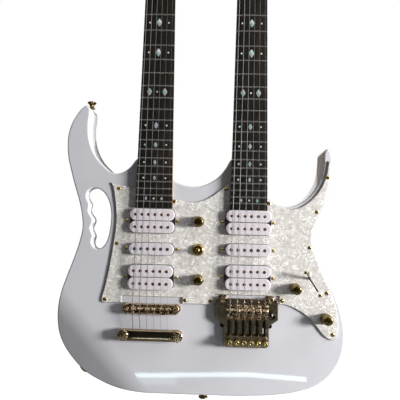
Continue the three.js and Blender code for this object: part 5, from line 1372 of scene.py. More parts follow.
def inlay(outline, neck_x, z, slot):
    """A thin chip of shell that follows the fretboard's round top, a hair proud of it."""
    chip = plate(outline, [(0, 0.4), (0, 0.0), (0.15, -0.06)], slots=slot, cap_slots=(slot, slot))
    points = chip.points + [neck_x, BOARD_TOP_Y, z]
    points[:, 1] += crown(chip.points[:, 0])
    return Skin(points, chip.faces, chip.slots, chip.smooth)


def lozenge(length, width):
    """A lozenge with four points and hollowed sides: a superellipse, whose cosine and sine are
    raised to the power of 1.6."""
    t = np.linspace(0, math.pi / 2, 9, endpoint=False)
    near, far = np.cos(t) ** 1.6, np.sin(t) ** 1.6
    up, down = np.stack([near, far], -1), np.stack([far, near], -1)
    quarters = [up, down * [-1, 1], -up, down * [1, -1]]
    return np.vstack(quarters) * [width / 2, length / 2]


def board_skin(neck_x):
    """A fretboard: a crowned top over a flat foot, tapered to the nut."""
    rings = []
    for z in np.linspace(NECK_END_Z, NUT_Z - FIT_GAP, 40):
        x = half_width(z) * np.linspace(-1, 1, 17)
        top = np.stack([neck_x + x, BOARD_TOP_Y + crown(x), np.full(len(x), z)], -1)
        foot = np.array([[neck_x + x[-1], BOARD_TOP_Y + BOARD_THICKNESS, z],
                         [neck_x + x[0], BOARD_TOP_Y + BOARD_THICKNESS, z]])
        rings.append(np.vstack([top, foot]))
    return capped(np.stack(rings))


def fret_skin(neck_x, number):
    """A fret: a low arch carried over the fretboard's round top, with eased ends."""
    z, turn = fret_z(number), np.linspace(0, math.pi, 9)
    shares = np.concatenate([[-1, -0.985], np.linspace(-1, 1, 17)[1:-1] * 0.97, [0.985, 1]])
    reach = shares * (half_width(z) - 0.1)
    rise = sizes().fret_height / MM * np.concatenate([[0.25, 0.8], np.ones(15), [0.8, 0.25]])
    y = BOARD_TOP_Y + crown(reach)[:, None] - rise[:, None] * np.sin(turn) + 0.25 * (np.sin(turn) < 0.01)
    return capped(np.stack([np.broadcast_to((neck_x + reach)[:, None], y.shape), y,
                            np.broadcast_to(z + 1.2 * np.cos(turn), y.shape)], -1)).painted(1)


def dress_fretboards():
    """Fretboards: a crowned tapered board, rounded frets bent over it, and shell inlays."""
    length = sizes().inlay_length / MM
    for side, neck_x in NECKS.items():
        skins = [board_skin(neck_x)] + [fret_skin(neck_x, number) for number in range(1, FRET_COUNT + 1)]
        for number in INLAY_FRETS:
            z = (fret_z(number) + fret_z(number - 1)) / 2
            room = min(length, 0.62 * (fret_z(number - 1) - fret_z(number)))
            octave = number % 12 == 0
            for k in (-1, 1) if octave else (0,):
                skins.append(inlay(lozenge(room, 0.62 * room), neck_x + 12 * k, z, 2))
            for k in (0,) if octave else (-1, 1):
                skins.append(inlay(circle(0, 0, 1.4, 20), neck_x + 0.62 * k * half_width(z), z, 3))
        add_piece(f"crowned_fretboard_{side}", joined(skins),
                  ["rosewood", "fret steel", "abalone", "shell white"], "guitar",
                  (f"fretboard_{side}",))


# Strings and nuts

POST_STRING_RISE = 5.0
POST_RADIUS = 3.0
RETAINER_V = 11.0
RETAINER_RADIUS = 1.6


def string_path(neck_x, index, start, bar_y):
    """A string's points from the bridge over the nut to its post, with the bends drawn out."""
    u, v = tuner_place(index)
    matrix = head_matrix(neck_x)
    nut_x, bridge_x = string_x(index, NUT_SPREAD), string_x(index, BRIDGE_SPREAD)
    post = np.array(matrix @ Vector((u, -POST_STRING_RISE, v - POST_RADIUS)))
    corners = [start, (neck_x + bridge_x, SADDLE_STRING_Y + crown(bridge_x), SADDLE_Z),
               (neck_x + nut_x, NUT_STRING_Y + crown(nut_x), NUT_Z + NUT_THICKNESS)]
    if bar_y is not None:
        corners.append(np.array(matrix @ Vector((nut_x, bar_y, RETAINER_V))))
    corners.append(post)
    return softened(corners, 1.5, 4)


def dress_strings():
    """Strings, with the bone nut on the left neck and the retainer bar on the right one."""
    left, right = [], []
    for s, radius in enumerate(STRING_RADII):
        x = string_x(s, BRIDGE_SPREAD)
        start = (BRIDGE_X + x, FRONT_Y - 8.75, TAIL_Z + 9.3)
        left.append(tube(string_path(LEFT_X, s, start, None), radius))
        start = (RIGHT_X + x, SADDLE_STRING_Y + crown(x) + 0.6, SADDLE_Z - 2.4)
        right.append(tube(string_path(RIGHT_X, s, start, 2 * RETAINER_RADIUS - POST_STRING_RISE), radius))
    half, foot_y = NUT_WIDTH / 2, NECK_FACE_Y - FIT_GAP
    x = np.linspace(-1, 1, 33) * half
    profile = softened([(0, foot_y), (0, NUT_STRING_Y - 0.3), (NUT_THICKNESS, NUT_STRING_Y + 0.5),
                        (NUT_THICKNESS, foot_y)], 0.7, 3)
    y = profile[None, :, 1] + np.where(profile[None, :, 1] < BOARD_TOP_Y, crown(x)[:, None], 0)
    nut = capped(np.stack([np.broadcast_to((LEFT_X + x)[:, None], y.shape), y,
                           np.broadcast_to(NUT_Z + profile[None, :, 0], y.shape)], -1)).painted(1)
    add_piece("steel_strings_left", joined(left) + nut, ["string steel", "ivory"], "guitar",
              ("strings_left",))
    bar_y = -POST_STRING_RISE + RETAINER_RADIUS + SINK
    bar = rod((-half, bar_y, RETAINER_V), (half, bar_y, RETAINER_V), RETAINER_RADIUS, 24)
    feet = [rod((x, bar_y, RETAINER_V), (x, -FIT_GAP, RETAINER_V), 1.6, 20)
            for x in both_sides(0, NUT_WIDTH - 3.2)]
    retainer = joined([bar, *feet]).placed(head_matrix(RIGHT_X)).painted(1)
    add_piece("steel_strings_right", joined(right) + retainer, ["string steel", "gold"], "guitar",
              ("strings_right",))


def dress_locking_nut():
    """Locking nut: a base under three clamp blocks, each held by a socket screw."""
    foot_y, base_top = NECK_FACE_Y - FIT_GAP, NUT_STRING_Y + 1
    clamp_foot = NUT_STRING_Y - STRING_RADII[0] - FIT_GAP
    width, half_length = (NUT_WIDTH - 2.8) / 3, NUT_THICKNESS / 2
    z = NUT_Z + half_length
    base = pillow((NUT_WIDTH / 2, (foot_y - base_top) / 2, half_length), 0.12, 12, 40)
    clamp = pillow((width / 2, 2.3, half_length), 0.16, 12, 40)
    skins = [base.at(0, (foot_y + base_top) / 2, z)]
    for x in (-width - 1.4, 0, width + 1.4):
        skins += [clamp.at(x, clamp_foot - 1.1, z), pole_screw(2.4, x, clamp_foot - 3.8, z, True)]
    add_piece("clamped_locking_nut", joined(skins).at(RIGHT_X), ["gold"], "guitar",
              ("locking_nut",))


# Fixed bridge and tailpiece

def dress_fixed_bridge():
    """Fixed bridge: a stadium bar with a trough, six notched saddles on their screws, and posts."""
    saddle_top = SADDLE_STRING_Y + STRING_RADII[0] + FIT_GAP + crown(BRIDGE_SPREAD / 2)
    front, back = saddle_top + 2.4, saddle_top + 8.9
    outline = rounded_rectangle(BRIDGE_X, SADDLE_Z, 85.5, 15.5, 7.4, 12)
    bar = plate(outline, rounded_rim(back, front - 0.6, 1.5, 5, 0.8, 0.3))
    trough = prism(rounded_rectangle(BRIDGE_X, SADDLE_Z, 64, 9.6, 1.0, 4), front + 3.4, front - 4)
    add_piece("cast_fixed_bridge", bar, ["speckled gold"], "guitar", ("fixed_bridge",),
              cuts=[trough])
    skins, screw_y = [], front + 1.0
    for s in range(STRING_COUNT):
        x = string_x(s, BRIDGE_SPREAD)
        level = saddle_top + crown(x) - crown(BRIDGE_SPREAD / 2)
        shift = 0.3 * (s - 2.5)
        ridge = softened([(-4.6, front + 3), (-4.6, front + 1.4), (shift - 0.5, level),
                          (shift + 0.5, level), (4.6, front + 1.4), (4.6, front + 3)], 0.5, 3,
                         closed=True)
        x += BRIDGE_X
        head = screw_head(1.9, 0.7, 0, 0, 0, cross=False, sides=20)
        skins += [pinched_block(ridge, 3.9, 0.9).at(x),
                  rod((x, screw_y, SADDLE_Z - 7.9), (x, screw_y, SADDLE_Z + 6), 0.9, 12),
                  head.placed(turned_at(90, "X", (x, screw_y, SADDLE_Z - 7.4)))]
    profile = softened([(0, FRONT_Y - FIT_GAP), (7.4, FRONT_Y - FIT_GAP), (7.4, FRONT_Y - 3.3),
                        (0, FRONT_Y - 3.3)], 0.5, 3)
    wheel = spun(profile, 112, 28, 0.5 * (profile[:, 0] > 7.2))
    for x in both_sides(BRIDGE_X, TOM_POST_SPACING):
        skins += [wheel.at(x, 0, SADDLE_Z),
                  rod((x, FRONT_Y + TOM_POST_DEPTH, SADDLE_Z), (x, back + 1, SADDLE_Z), 3.2, 24),
                  screw_head(3.4, 0.9, x, front - 0.6, SADDLE_Z, cross=False)]
    add_piece("bridge_saddles", joined(skins), ["speckled gold"], "guitar")


def dress_tailpiece():
    """Stop tailpiece: a straight bar with a round back, a flat string face and round ends that
    hook under slotted stud heads."""
    back, front = FRONT_Y - 4, FRONT_Y - 13.5
    x = np.linspace(-1, 1, 61) * 47.5
    lug = eased(np.clip((np.abs(x) - 29) / 8, 0, 1))
    tip = np.sqrt(np.clip(1 - np.clip((np.abs(x) - 38.6) / 8.9, 0, 1) ** 2, 0.0004, 1))
    half_depth = ((8.6 + 0.5 * lug) * tip)[:, None]
    half_height = ((back - front) / 2 * (1 - 0.22 * lug) * (0.3 + 0.7 * tip))[:, None]
    middle = (back + front) / 2 + 0.22 * lug[:, None] * (back - front) / 2
    angle = np.linspace(0, 2 * math.pi, 40, endpoint=False)[None, :]
    y = middle - half_height * bent(np.sin(angle), 0.62)
    z = TAIL_Z + half_depth * bent(np.cos(angle), 0.62)
    bar = capped(np.stack([np.broadcast_to((BRIDGE_X + x)[:, None], y.shape), y, z], -1))
    add_piece("cast_stop_tailpiece", bar, ["mirror bronze"], "guitar", ("stop_tailpiece",))
    foot = FRONT_Y + TAIL_STUD_DEPTH
    profile = softened([(0, foot), (5.5, foot), (5.5, FRONT_Y - 0.6), (7.0, FRONT_Y - 0.6),
                        (7.0, FRONT_Y - 1.8), (5.5, FRONT_Y - 1.8), (5.5, front + 3), (8.2, front + 3),
                        (8.2, front - 0.4), (7.4, front - 1.2), (0, front - 1.3)], 0.4, 3)
    places = both_sides(BRIDGE_X, TAIL_STUD_SPACING)
    studs = [spun(profile, 40).at(x, 0, TAIL_Z) for x in places]
    slots = [prism(rounded_rectangle(x, TAIL_Z, 18, 2.0, 0.2, 2), front - 0.1, front - 3) for x in places]
    add_piece("tailpiece_studs", joined(studs), ["speckled gold"], "guitar", cuts=slots)


# Tremolo

def dress_tremolo():
    """Tremolo: a bevelled base plate with string slots, six saddles with their clamp screws, the
    fine tuners' riser, the arm socket and the sustain block."""
    half, tail, corner = 47.2, 33.8, 3.4
    front_z, shoulder_z, waist_z, tail_z = SADDLE_Z + 19.3, SADDLE_Z - 11, SADDLE_Z - 20, SADDLE_Z - 52.5
    plan = np.array([
        [-half + corner, front_z], [-half, front_z - corner], [-half, shoulder_z], [-tail, waist_z],
        [-tail, tail_z + corner], [-tail + corner, tail_z], [tail - corner, tail_z],
        [tail, tail_z + corner], [tail, waist_z], [half, shoulder_z], [half, front_z - corner],
        [half - corner, front_z]])
    outline = softened(plan + [TREM_X, 0], 1.6, 4, closed=True)
    base = plate(outline, rounded_rim(TREM_BACK_Y, TREM_FRONT_Y, 0.9, 4, 0.4, 0.3))
    deep, out = TREM_BACK_Y + OVERRUN, TREM_FRONT_Y - OVERRUN
    cuts = []
    for x in both_sides(TREM_X, TREM_STUD_SPACING):
        cuts += [prism(circle(x, TREM_PIVOT_Z, 5.4, 36), deep, out),
                 prism(rounded_rectangle(x, TREM_PIVOT_Z + 4, 10.8, 8, 0.3, 2), deep, out)]
    strings = [RIGHT_X + string_x(s, BRIDGE_SPREAD) for s in range(STRING_COUNT)]
    # Slot 1 paints the walls of the string slots and the arm socket's bore near-black: painted shade in the
    # hollows.
    cuts += [prism(rounded_rectangle(x, SADDLE_Z - 23, 5.8, 17.8, 2.8, 5), deep, out, 1) for x in strings]
    socket_x, socket_z = TREM_X + 37, SADDLE_Z - 4.3
    cuts.append(prism(circle(socket_x, socket_z, 3.5, 32), deep, out, 1))
    add_piece("tremolo_base", base, ["olive plating", "black plastic"], "tremolo",
              ("tremolo_plate",), cuts=cuts)
    riser_z, peak = SADDLE_Z - 34.5, SADDLE_STRING_Y + crown(BRIDGE_SPREAD / 2) + STRING_RADII[0] + FIT_GAP
    foot_y, rod_y = TREM_FRONT_Y + SINK, TREM_FRONT_Y - 2.3
    skins, dark = [], []
    for s, x in enumerate(strings):
        level = SADDLE_STRING_Y + crown(x - RIGHT_X) + STRING_RADII[s] + FIT_GAP
        side = softened([(-11.5, foot_y), (-11.5, peak + 2.2), (-8.0, peak + 0.9), (-2.6, level),
                         (2.2, level), (5.2, level + 2.2), (10.5, TREM_FRONT_Y - 2.4),
                         (10.5, foot_y)], 0.7, 3, closed=True)
        skins += [pinched_block(side, 4.8, 0.95).at(x),
                  screw_head(2.2, 0.6, x, TREM_FRONT_Y, SADDLE_Z + 14.4, cross=False),
                  screw_head(2.3, 0.9, x, TREM_FRONT_Y - 2.4, SADDLE_Z + 8.4, sink=0.6)]
        # Near-black rods over each string slot: painted shade for the dark slots.
        dark.append(rod((x, rod_y, riser_z - SINK), (x, rod_y, SADDLE_Z - 11), 2.0, 20))
    block_back, block_front = 11.5, TREM_BACK_Y - SINK
    block = pillow((35, (block_back - block_front) / 2, 6.25), 0.08, 12, 48)
    skins.append(block.at(TREM_X, (block_back + block_front) / 2, SADDLE_Z + 2.25))
    socket = softened([(3.5, TREM_BACK_Y + 1), (5.6, TREM_BACK_Y + 1), (5.6, TREM_FRONT_Y - 5.4),
                       (5.0, TREM_FRONT_Y - 6), (3.9, TREM_FRONT_Y - 6), (3.5, TREM_FRONT_Y - 5.6),
                       (3.5, TREM_BACK_Y + 1)], 0.3, 2)
    # The arm socket's sleeve in the same near-black: painted shade in the socket.
    dark.append(spun(socket, 36).at(socket_x, 0, socket_z))
    add_piece("tremolo_saddles", joined(skins) + joined(dark).painted(1),
              ["speckled bronze", "black plating"], "tremolo")
    # The riser's bores get slot 1 too: near-black walls, painted shade in the hollows.
    bores = [prism(circle(x, SADDLE_Z - 42.9, 2.3, 20), TREM_BACK_Y + 4, TREM_FRONT_Y - 9.5, 1)
             for x in strings]
    riser = pillow((tail - corner, 3.5, (riser_z - tail_z - corner) / 2), 0.1, 14, 60)
    add_piece("fine_tuner_riser", riser.at(TREM_X, foot_y - 3.5, (riser_z + tail_z + corner) / 2),
              ["olive plating", "black plastic"], "tremolo", cuts=bores)


def dress_fine_tuners():
    """Fine tuners: six small ridged thumbscrews."""
    for number in range(1, STRING_COUNT + 1):
        node = f"fine_tuner_{number}"
        low, high, middle = span_mm(node)
        back, front = high[1], low[1]
        profile = softened([(0, back), (1.9, back), (1.9, front + 6.5), (3.9, front + 6.5),
                            (3.9, front + 0.8), (3.2, front), (1.6, front), (1.2, front + 0.7),
                            (0, front + 0.7)], 0.35, 3)
        grip = (profile[:, 0] > 3.5) & (profile[:, 1] > front + 0.7)
        add_piece(f"ridged_{node}", spun(profile, 72, 18, 0.4 * grip).at(middle[0], 0, middle[2]),
                  ["gold"], node, (node,))


# Tuners

def dress_tuners():
    """Tuners: a waisted post through the headstock, and a shaft with a rounded key button."""
    post = spun(softened([(0, 20.9), (2.9, 20.9), (2.9, -4), (2.4, -5), (2.9, -7), (2.9, -14.4),
                          (2.4, -15), (0, -15)], 0.5, 3), 32)
    shaft = spun(softened([(0, 0), (2.1, 0), (2.1, -15), (3.0, -15.4), (3.0, -16.6), (2.1, -17),
                           (2.1, -22), (0, -22)], 0.3, 3), 28)
    button = pillow((6.5, 3.2, 9.5), 0.6, 20, 40).at(-27)
    button.points[:, 2:] *= 1 - 0.18 * np.clip((button.points[:, :1] + 33.5) / 13, 0, 1)
    key = shaft.placed(turned_at(-90, "Z")) + button
    for side, neck_x in NECKS.items():
        matrix = head_matrix(neck_x)
        for t in range(STRING_COUNT):
            u, v = tuner_place(t)
            node = f"tuner_post_{side}_{t + 1}"
            skin = post.at(u, 0, v).placed(matrix)
            add_piece(f"turned_{node}", skin, ["gold"], node, (node,))
            node = f"tuner_key_{side}_{t + 1}"
            skin = key.at(u, HEAD_THICKNESS + 4.8, v - KEY_DROP).placed(matrix)
            add_piece(f"shaped_{node}", skin, ["gold"], node, (node,))


# Buttons, jack and the back

def dress_strap_buttons():
    """Strap buttons: a screw shank, a waisted barrel and a dished flange."""
    seat = 11.0
    skin = spun(softened([(0, 0.8), (1.6, 0.8), (2.6, 0.1), (6.4, 0.1), (7.15, 0.8), (7.15, 1.9),
                          (4.4, 4.2), (3.6, 6.6), (4.2, 9.4), (6.2, seat), (2, seat),
                          (2, seat + 23.9), (0, seat + 23.9)], 0.8, 4), 48)
    add_piece("turned_end_button", skin.placed(turned_at(90, "X")), ["dark gold"], "guitar",
              ("end_strap_button",))
    _, high, middle = span_mm("horn_strap_button")
    horn = turned_at(-90, "X", (middle[0], 0, high[2]))
    add_piece("turned_horn_button", skin.placed(horn), ["dark gold"], "guitar",
              ("horn_strap_button",))


def dress_jack():
    """Output jack: a flange with a flared mouth over a barrel sunk in the rim."""
    seat, face, flare = -0.3, -2.9, 3.2
    turn = np.linspace(0, 1, 8) * math.pi / 2
    mouth = np.stack([6.9 - flare * np.sin(turn), face + flare * (1 - np.cos(turn))], -1)
    rest = [(8.3, face), (8.8, face + 0.6), (8.8, seat), (5.6, seat), (5.6, 24), (0, 24), (0, 20.6),
            (3.7, 20.6), (3.7, face + flare)]
    skin = spun(np.vstack([mouth[::-1], rest]), 56).placed(jack_matrix() @ turned_at(-90, "Z"))
    add_piece("turned_output_jack", skin, ["gold"], "guitar", ("output_jack",))


def coil_spring(x, y, top, bottom, radius=3.4, turns=26):
    """A wound spring along Z with a short straight end at its top and at its bottom."""
    share = np.linspace(0, 1, turns * 12 + 1)
    angle = 2 * math.pi * turns * share
    z = top - 4 - share * (top - bottom - 8)
    coil = np.stack([x + radius * np.cos(angle), y + radius * np.sin(angle), z], -1)
    hook = [(x + radius, y, top - 1), (x + radius, y, top - 2.5)]
    tail = [(x + radius, y, bottom + 2.5), (x + radius, y, bottom + 0.2)]
    aside = np.stack([np.cos(angle), np.sin(angle), np.zeros_like(angle)], -1)
    return tube(np.vstack([hook, coil, tail]), 0.6, 6, np.pad(aside, ((2, 2), (0, 0)), "edge"))


def dress_back():
    """The back: the cavity's cover flush in its step with screws, the claw with its springs, and
    four bolts in each neck's heel."""
    width, height = CAVITY_WIDTH + 2 * COVER_MARGIN, CAVITY_HEIGHT + 2 * COVER_MARGIN
    rim = [(0.2, BACK_Y - COVER_THICKNESS), (0, BACK_Y - COVER_THICKNESS + 0.2), (0, BACK_Y - 0.3),
           (0.3, BACK_Y), (0.7, BACK_Y)]
    cover = plate(rounded_rectangle(TREM_X, CAVITY_Z, width, height, ROUT_CORNER), rim)
    add_piece("tremolo_cavity_cover", cover, ["bobbin plastic"], "guitar",
              ("tremolo_cover",))
    top, bottom = both_sides(CAVITY_Z, height - COVER_MARGIN)
    screws = [back_screw(2.6, 0.5, x, BACK_Y - 0.5, z, sink=1.2)
              for x in both_sides(TREM_X, width - COVER_MARGIN) for z in (top, CAVITY_Z, bottom)]
    screws += [back_screw(4.4, 0.9, x, BACK_Y - 0.9, z, sink=1.0) for neck_x in NECKS.values()
               for x in both_sides(neck_x, 30) for z in (NECK_END_Z + 8, NECK_END_Z + 30)]
    add_piece("back_screws", joined(screws), ["gold"], "guitar")
    y, claw_z, block_z = 7.6, SADDLE_Z + 99.5, SADDLE_Z + 8.5 + FIT_GAP
    skins = [pillow((31, 5.8, 2.4), 0.12, 10, 48).at(TREM_X, y, claw_z)]
    skins += [rod((x, y, claw_z - 4.8), (x, y, CAVITY_TOP_Z + 24), 2.0, 20)
              for x in both_sides(TREM_X, 30)]
    skins += [coil_spring(x, y, claw_z, block_z) for x in (TREM_X - 19, TREM_X, TREM_X + 19)]
    add_piece("claw_and_springs", joined(skins), ["fret steel"], "guitar", ("spring_claw",))


# Studio

CAMERA_AT = (7.3, -639.5, 261.9)
CAMERA_PITCH = math.radians(3.998)
CAMERA_YAW = math.radians(1.741)
CAMERA_ROLL = math.radians(1.299)
IMAGE_SIZE = 400
FOCAL_PIXELS = 399.9
FLOOR_Z = -600.0


def camera_rows():
    """Right, up and back of the camera: a yaw, a pitch and a roll from a level view along +Y."""
    cy, sy = math.cos(CAMERA_YAW), math.sin(CAMERA_YAW)
    cp, sp = math.cos(CAMERA_PITCH), math.sin(CAMERA_PITCH)
    cr, sr = math.cos(CAMERA_ROLL), math.sin(CAMERA_ROLL)
    level = np.array([[1, 0, 0], [0, 0, 1], [0, -1, 0]])
    yaw = np.array([[cy, -sy, 0], [sy, cy, 0], [0, 0, 1]])
    pitch = np.array([[1, 0, 0], [0, cp, -sp], [0, sp, cp]])
    roll = np.array([[cr, sr, 0], [-sr, cr, 0], [0, 0, 1]])
    return roll @ level @ (pitch @ yaw).T


def white_card(name):
    """A surface that is white to the camera whatever falls on it, and pale grey to other rays."""
    look = Finish(name, roughness=0.9)
    cloud = look.add("ShaderNodeTexNoise").outputs["Fac"]
    look.base(look.ramp(cloud, [(0, (0.2, 0.2, 0.2)), (1, (0.24, 0.24, 0.24))]))
    seen = look.add("ShaderNodeLightPath").outputs["Is Camera Ray"]
    look.feed(look.shader.inputs["Emission Strength"], seen)
    look.feed(look.shader.inputs["Emission Color"], (1, 1, 1))
    return look.material


def area_lamp(name, place, target, width, height, power, colour=(1, 1, 1), spin=0.0):
    """A rectangular lamp, in metres and watts, that shines at a point."""
    data = bpy.data.lights.new(name, "AREA")
    data.shape = "RECTANGLE"
    data.size = width
    data.size_y = height
    data.energy = power
    data.color = colour
    lamp = bpy.data.objects.new(name, data)
    bpy.context.scene.collection.objects.link(lamp)
    lamp.location = place
    lamp.rotation_mode = "QUATERNION"
    aim = (Vector(target) - lamp.location).to_track_quat("-Z", "Y")
    lamp.rotation_quaternion = aim @ Quaternion((0, 0, 1), spin)
    return lamp


def flat_card(name, corners, material):
    """A flat card between four corners in metres."""
    mesh = bpy.data.meshes.new(name)
    mesh.from_pydata(corners, [], [(0, 1, 2, 3)])
    mesh.materials.append(material)
    thing = bpy.data.objects.new(name, mesh)
    bpy.context.scene.collection.objects.link(thing)
    return thing


def set_camera():
    """The photo's camera, as fitted to it."""
    scene = bpy.context.scene
    scene.view_settings.view_transform = "Standard"
    data = bpy.data.cameras.new("camera")
    data.sensor_width = 36
    data.lens = 36 * FOCAL_PIXELS / IMAGE_SIZE
    data.clip_start = 0.01
    data.clip_end = 100
    camera = bpy.data.objects.new("camera", data)
    scene.collection.objects.link(camera)
    turn = Matrix(camera_rows().T.tolist()).to_4x4()
    camera.matrix_world = Matrix.Translation(Vector(CAMERA_AT) * MM) @ turn
    scene.camera = camera


def set_world():
    """White surroundings: bright to the camera and in mirrors, and a weak fill for the rest."""
    world = bpy.data.worlds.new("surroundings")
    bpy.context.scene.world = world
    world.use_nodes = True
    tree = world.node_tree
    path = tree.nodes.new("ShaderNodeLightPath").outputs
    seen = path["Is Camera Ray"]
    for kind in ("Is Glossy Ray", "Is Transmission Ray"):
        either = tree.nodes.new("ShaderNodeMath")
        either.operation = "MAXIMUM"
        tree.links.new(seen, either.inputs[0])
        tree.links.new(path[kind], either.inputs[1])
        seen = either.outputs["Value"]
    strength = tree.nodes.new("ShaderNodeMapRange")
    strength.inputs["To Min"].default_value = sizes().fill_strength
    strength.inputs["To Max"].default_value = 1.0
    tree.links.new(seen, strength.inputs["Value"])
    background = tree.nodes["Background"]
    background.inputs["Color"].default_value = (1, 1, 1, 1)
    tree.links.new(strength.outputs["Result"], background.inputs["Strength"])


def set_lamps():
    """The key lamp at the right, a broad soft one, one for the back, and the strips that only
    show as reflections in the lacquer."""
    size = sizes()
    area_lamp("key", (2.1, -1.04, 0.42), (0, 0, 0.25), 0.5, 0.5, size.key_power, (1.0, 0.985, 0.96))
    area_lamp("soft", (1.8, -0.6, 1.7), (0, 0, 0.25), 1.2, 1.2, size.soft_power, (0.93, 0.96, 1.0))
    behind = area_lamp("behind", (0.2, 2.4, 0.45), (0, 0, 0.4), 1.4, 1.4, size.behind_power)
    behind.visible_glossy = False
    power = size.streak_power
    for name, x, z, length, turn in (("streak_left", -0.055, -0.2787, 0.433, 0.0605),
                                     ("streak_right", 0.26, -0.2713, 0.2, -0.0216)):
        streak = area_lamp(name, (x, -0.9, z), (x - 0.025, 0, z + 0.32), length, 0.015,
                           power * length, (0.76, 0.96, 1.0), turn)
        streak.visible_diffuse = False
    glow = area_lamp("streak_glow", (-0.2, -0.9, -0.305), (-0.06, 0, 0.031), 0.17, 0.03, 0.08 * power,
                     (0.8, 0.97, 1.0))
    glow.visible_diffuse = False


def set_cards():
    """A pale floor well below the guitar, and dark cards that only mirrors see."""
    size, z = 6.0, FLOOR_Z * MM
    corners = [(-size, -size, z), (size, -size, z), (size, size, z), (-size, size, z)]
    floor = flat_card("floor", corners, white_card("floor card"))
    low, high, reach, depth = -1.1, 1.2, 1.6, -1.25
    front = [(-reach, depth, low), (reach, depth, low), (reach, depth, high), (-reach, depth, high)]
    left = [(-reach, depth, low), (-reach, depth, high), (-reach, 0.5, high), (-reach, 0.5, low)]
    behind = [(-3.0, 2.0, -1.5), (0.0, 2.0, -1.5), (0.0, 2.0, 3.0), (-3.0, 2.0, 3.0)]
    black, brown = (0.03, 0.03, 0.03), (0.2, 0.17, 0.13)
    for name, corners, tone in (("dark_card_front", front, black), ("dark_card_left", left, black),
                                ("dark_card_behind", behind, brown)):
        look = Finish(name, roughness=0.5)
        look.base(tone)
        card = flat_card(name, corners, look.material)
        card.visible_camera = False
        card.visible_diffuse = False
        card.visible_shadow = False
        card.visible_transmission = False


def set_stage():
    """Camera, surroundings, lamps and cards."""
    set_camera()
    set_world()
    set_lamps()
    set_cards()


# Operators, panel and main

class GUITAR_OT_stage(bpy.types.Operator):
    """Set the camera, lamps and white surroundings"""

    bl_idname = "guitar.stage"
    bl_label = "Stage"
    bl_options = {"REGISTER", "UNDO"}

    def execute(self, context):
        set_stage()
        return {"FINISHED"}


class GUITAR_OT_body(bpy.types.Operator):
    """Make the lacquered body"""

    bl_idname = "guitar.body"
    bl_label = "Body"
    bl_options = {"REGISTER", "UNDO"}

    def execute(self, context):
        dress_body()
        return {"FINISHED"}


class GUITAR_OT_guard(bpy.types.Operator):
    """Make the pearl pickguard and its screws"""

    bl_idname = "guitar.guard"
    bl_label = "Pickguard"
    bl_options = {"REGISTER", "UNDO"}

    def execute(self, context):
        dress_guard()
        return {"FINISHED"}


class GUITAR_OT_pickups(bpy.types.Operator):
    """Make the six pickups"""

    bl_idname = "guitar.pickups"
    bl_label = "Pickups"
    bl_options = {"REGISTER", "UNDO"}

    def execute(self, context):
        dress_pickups()
        return {"FINISHED"}


class GUITAR_OT_knobs(bpy.types.Operator):
    """Make the four knobs"""

    bl_idname = "guitar.knobs"
    bl_label = "Knobs"
    bl_options = {"REGISTER", "UNDO"}

    def execute(self, context):
        dress_knobs()
        return {"FINISHED"}


class GUITAR_OT_toggle(bpy.types.Operator):
    """Make the toggle switch and its lever"""

    bl_idname = "guitar.toggle"
    bl_label = "Toggle switch"
    bl_options = {"REGISTER", "UNDO"}

    def execute(self, context):
        dress_toggle()
        return {"FINISHED"}


class GUITAR_OT_pickup_switch(bpy.types.Operator):
    """Make the five-way switch's lever"""

    bl_idname = "guitar.pickup_switch"
    bl_label = "Pickup switch"
    bl_options = {"REGISTER", "UNDO"}

    def execute(self, context):
        dress_pickup_switch()
        return {"FINISHED"}


class GUITAR_OT_necks(bpy.types.Operator):
    """Make both necks with their headstocks"""

    bl_idname = "guitar.necks"
    bl_label = "Necks"
    bl_options = {"REGISTER", "UNDO"}

    def execute(self, context):
        dress_necks()
        return {"FINISHED"}


class GUITAR_OT_fretboards(bpy.types.Operator):
    """Make both fretboards, frets and inlays"""

    bl_idname = "guitar.fretboards"
    bl_label = "Fretboards"
    bl_options = {"REGISTER", "UNDO"}

    def execute(self, context):
        dress_fretboards()
        return {"FINISHED"}


class GUITAR_OT_strings(bpy.types.Operator):
    """Make both sets of strings"""

    bl_idname = "guitar.strings"
    bl_label = "Strings"
    bl_options = {"REGISTER", "UNDO"}

    def execute(self, context):
        dress_strings()
        return {"FINISHED"}


class GUITAR_OT_locking_nut(bpy.types.Operator):
    """Make the locking nut"""

    bl_idname = "guitar.locking_nut"
    bl_label = "Locking nut"
    bl_options = {"REGISTER", "UNDO"}

    def execute(self, context):
        dress_locking_nut()
        return {"FINISHED"}


class GUITAR_OT_fixed_bridge(bpy.types.Operator):
    """Make the fixed bridge with its saddles"""

    bl_idname = "guitar.fixed_bridge"
    bl_label = "Fixed bridge"
    bl_options = {"REGISTER", "UNDO"}

    def execute(self, context):
        dress_fixed_bridge()
        return {"FINISHED"}


class GUITAR_OT_tailpiece(bpy.types.Operator):
    """Make the stop tailpiece and its studs"""

    bl_idname = "guitar.tailpiece"
    bl_label = "Tailpiece"
    bl_options = {"REGISTER", "UNDO"}

    def execute(self, context):
        dress_tailpiece()
        return {"FINISHED"}


class GUITAR_OT_tremolo(bpy.types.Operator):
    """Make the tremolo's plate, saddles and riser"""

    bl_idname = "guitar.tremolo"
    bl_label = "Tremolo"
    bl_options = {"REGISTER", "UNDO"}

    def execute(self, context):
        dress_tremolo()
        return {"FINISHED"}


class GUITAR_OT_fine_tuners(bpy.types.Operator):
    """Make the six fine tuners"""

    bl_idname = "guitar.fine_tuners"
    bl_label = "Fine tuners"
    bl_options = {"REGISTER", "UNDO"}

    def execute(self, context):
        dress_fine_tuners()
        return {"FINISHED"}


class GUITAR_OT_tuners(bpy.types.Operator):
    """Make the twelve tuners"""

    bl_idname = "guitar.tuners"
    bl_label = "Tuners"
    bl_options = {"REGISTER", "UNDO"}

    def execute(self, context):
        dress_tuners()
        return {"FINISHED"}


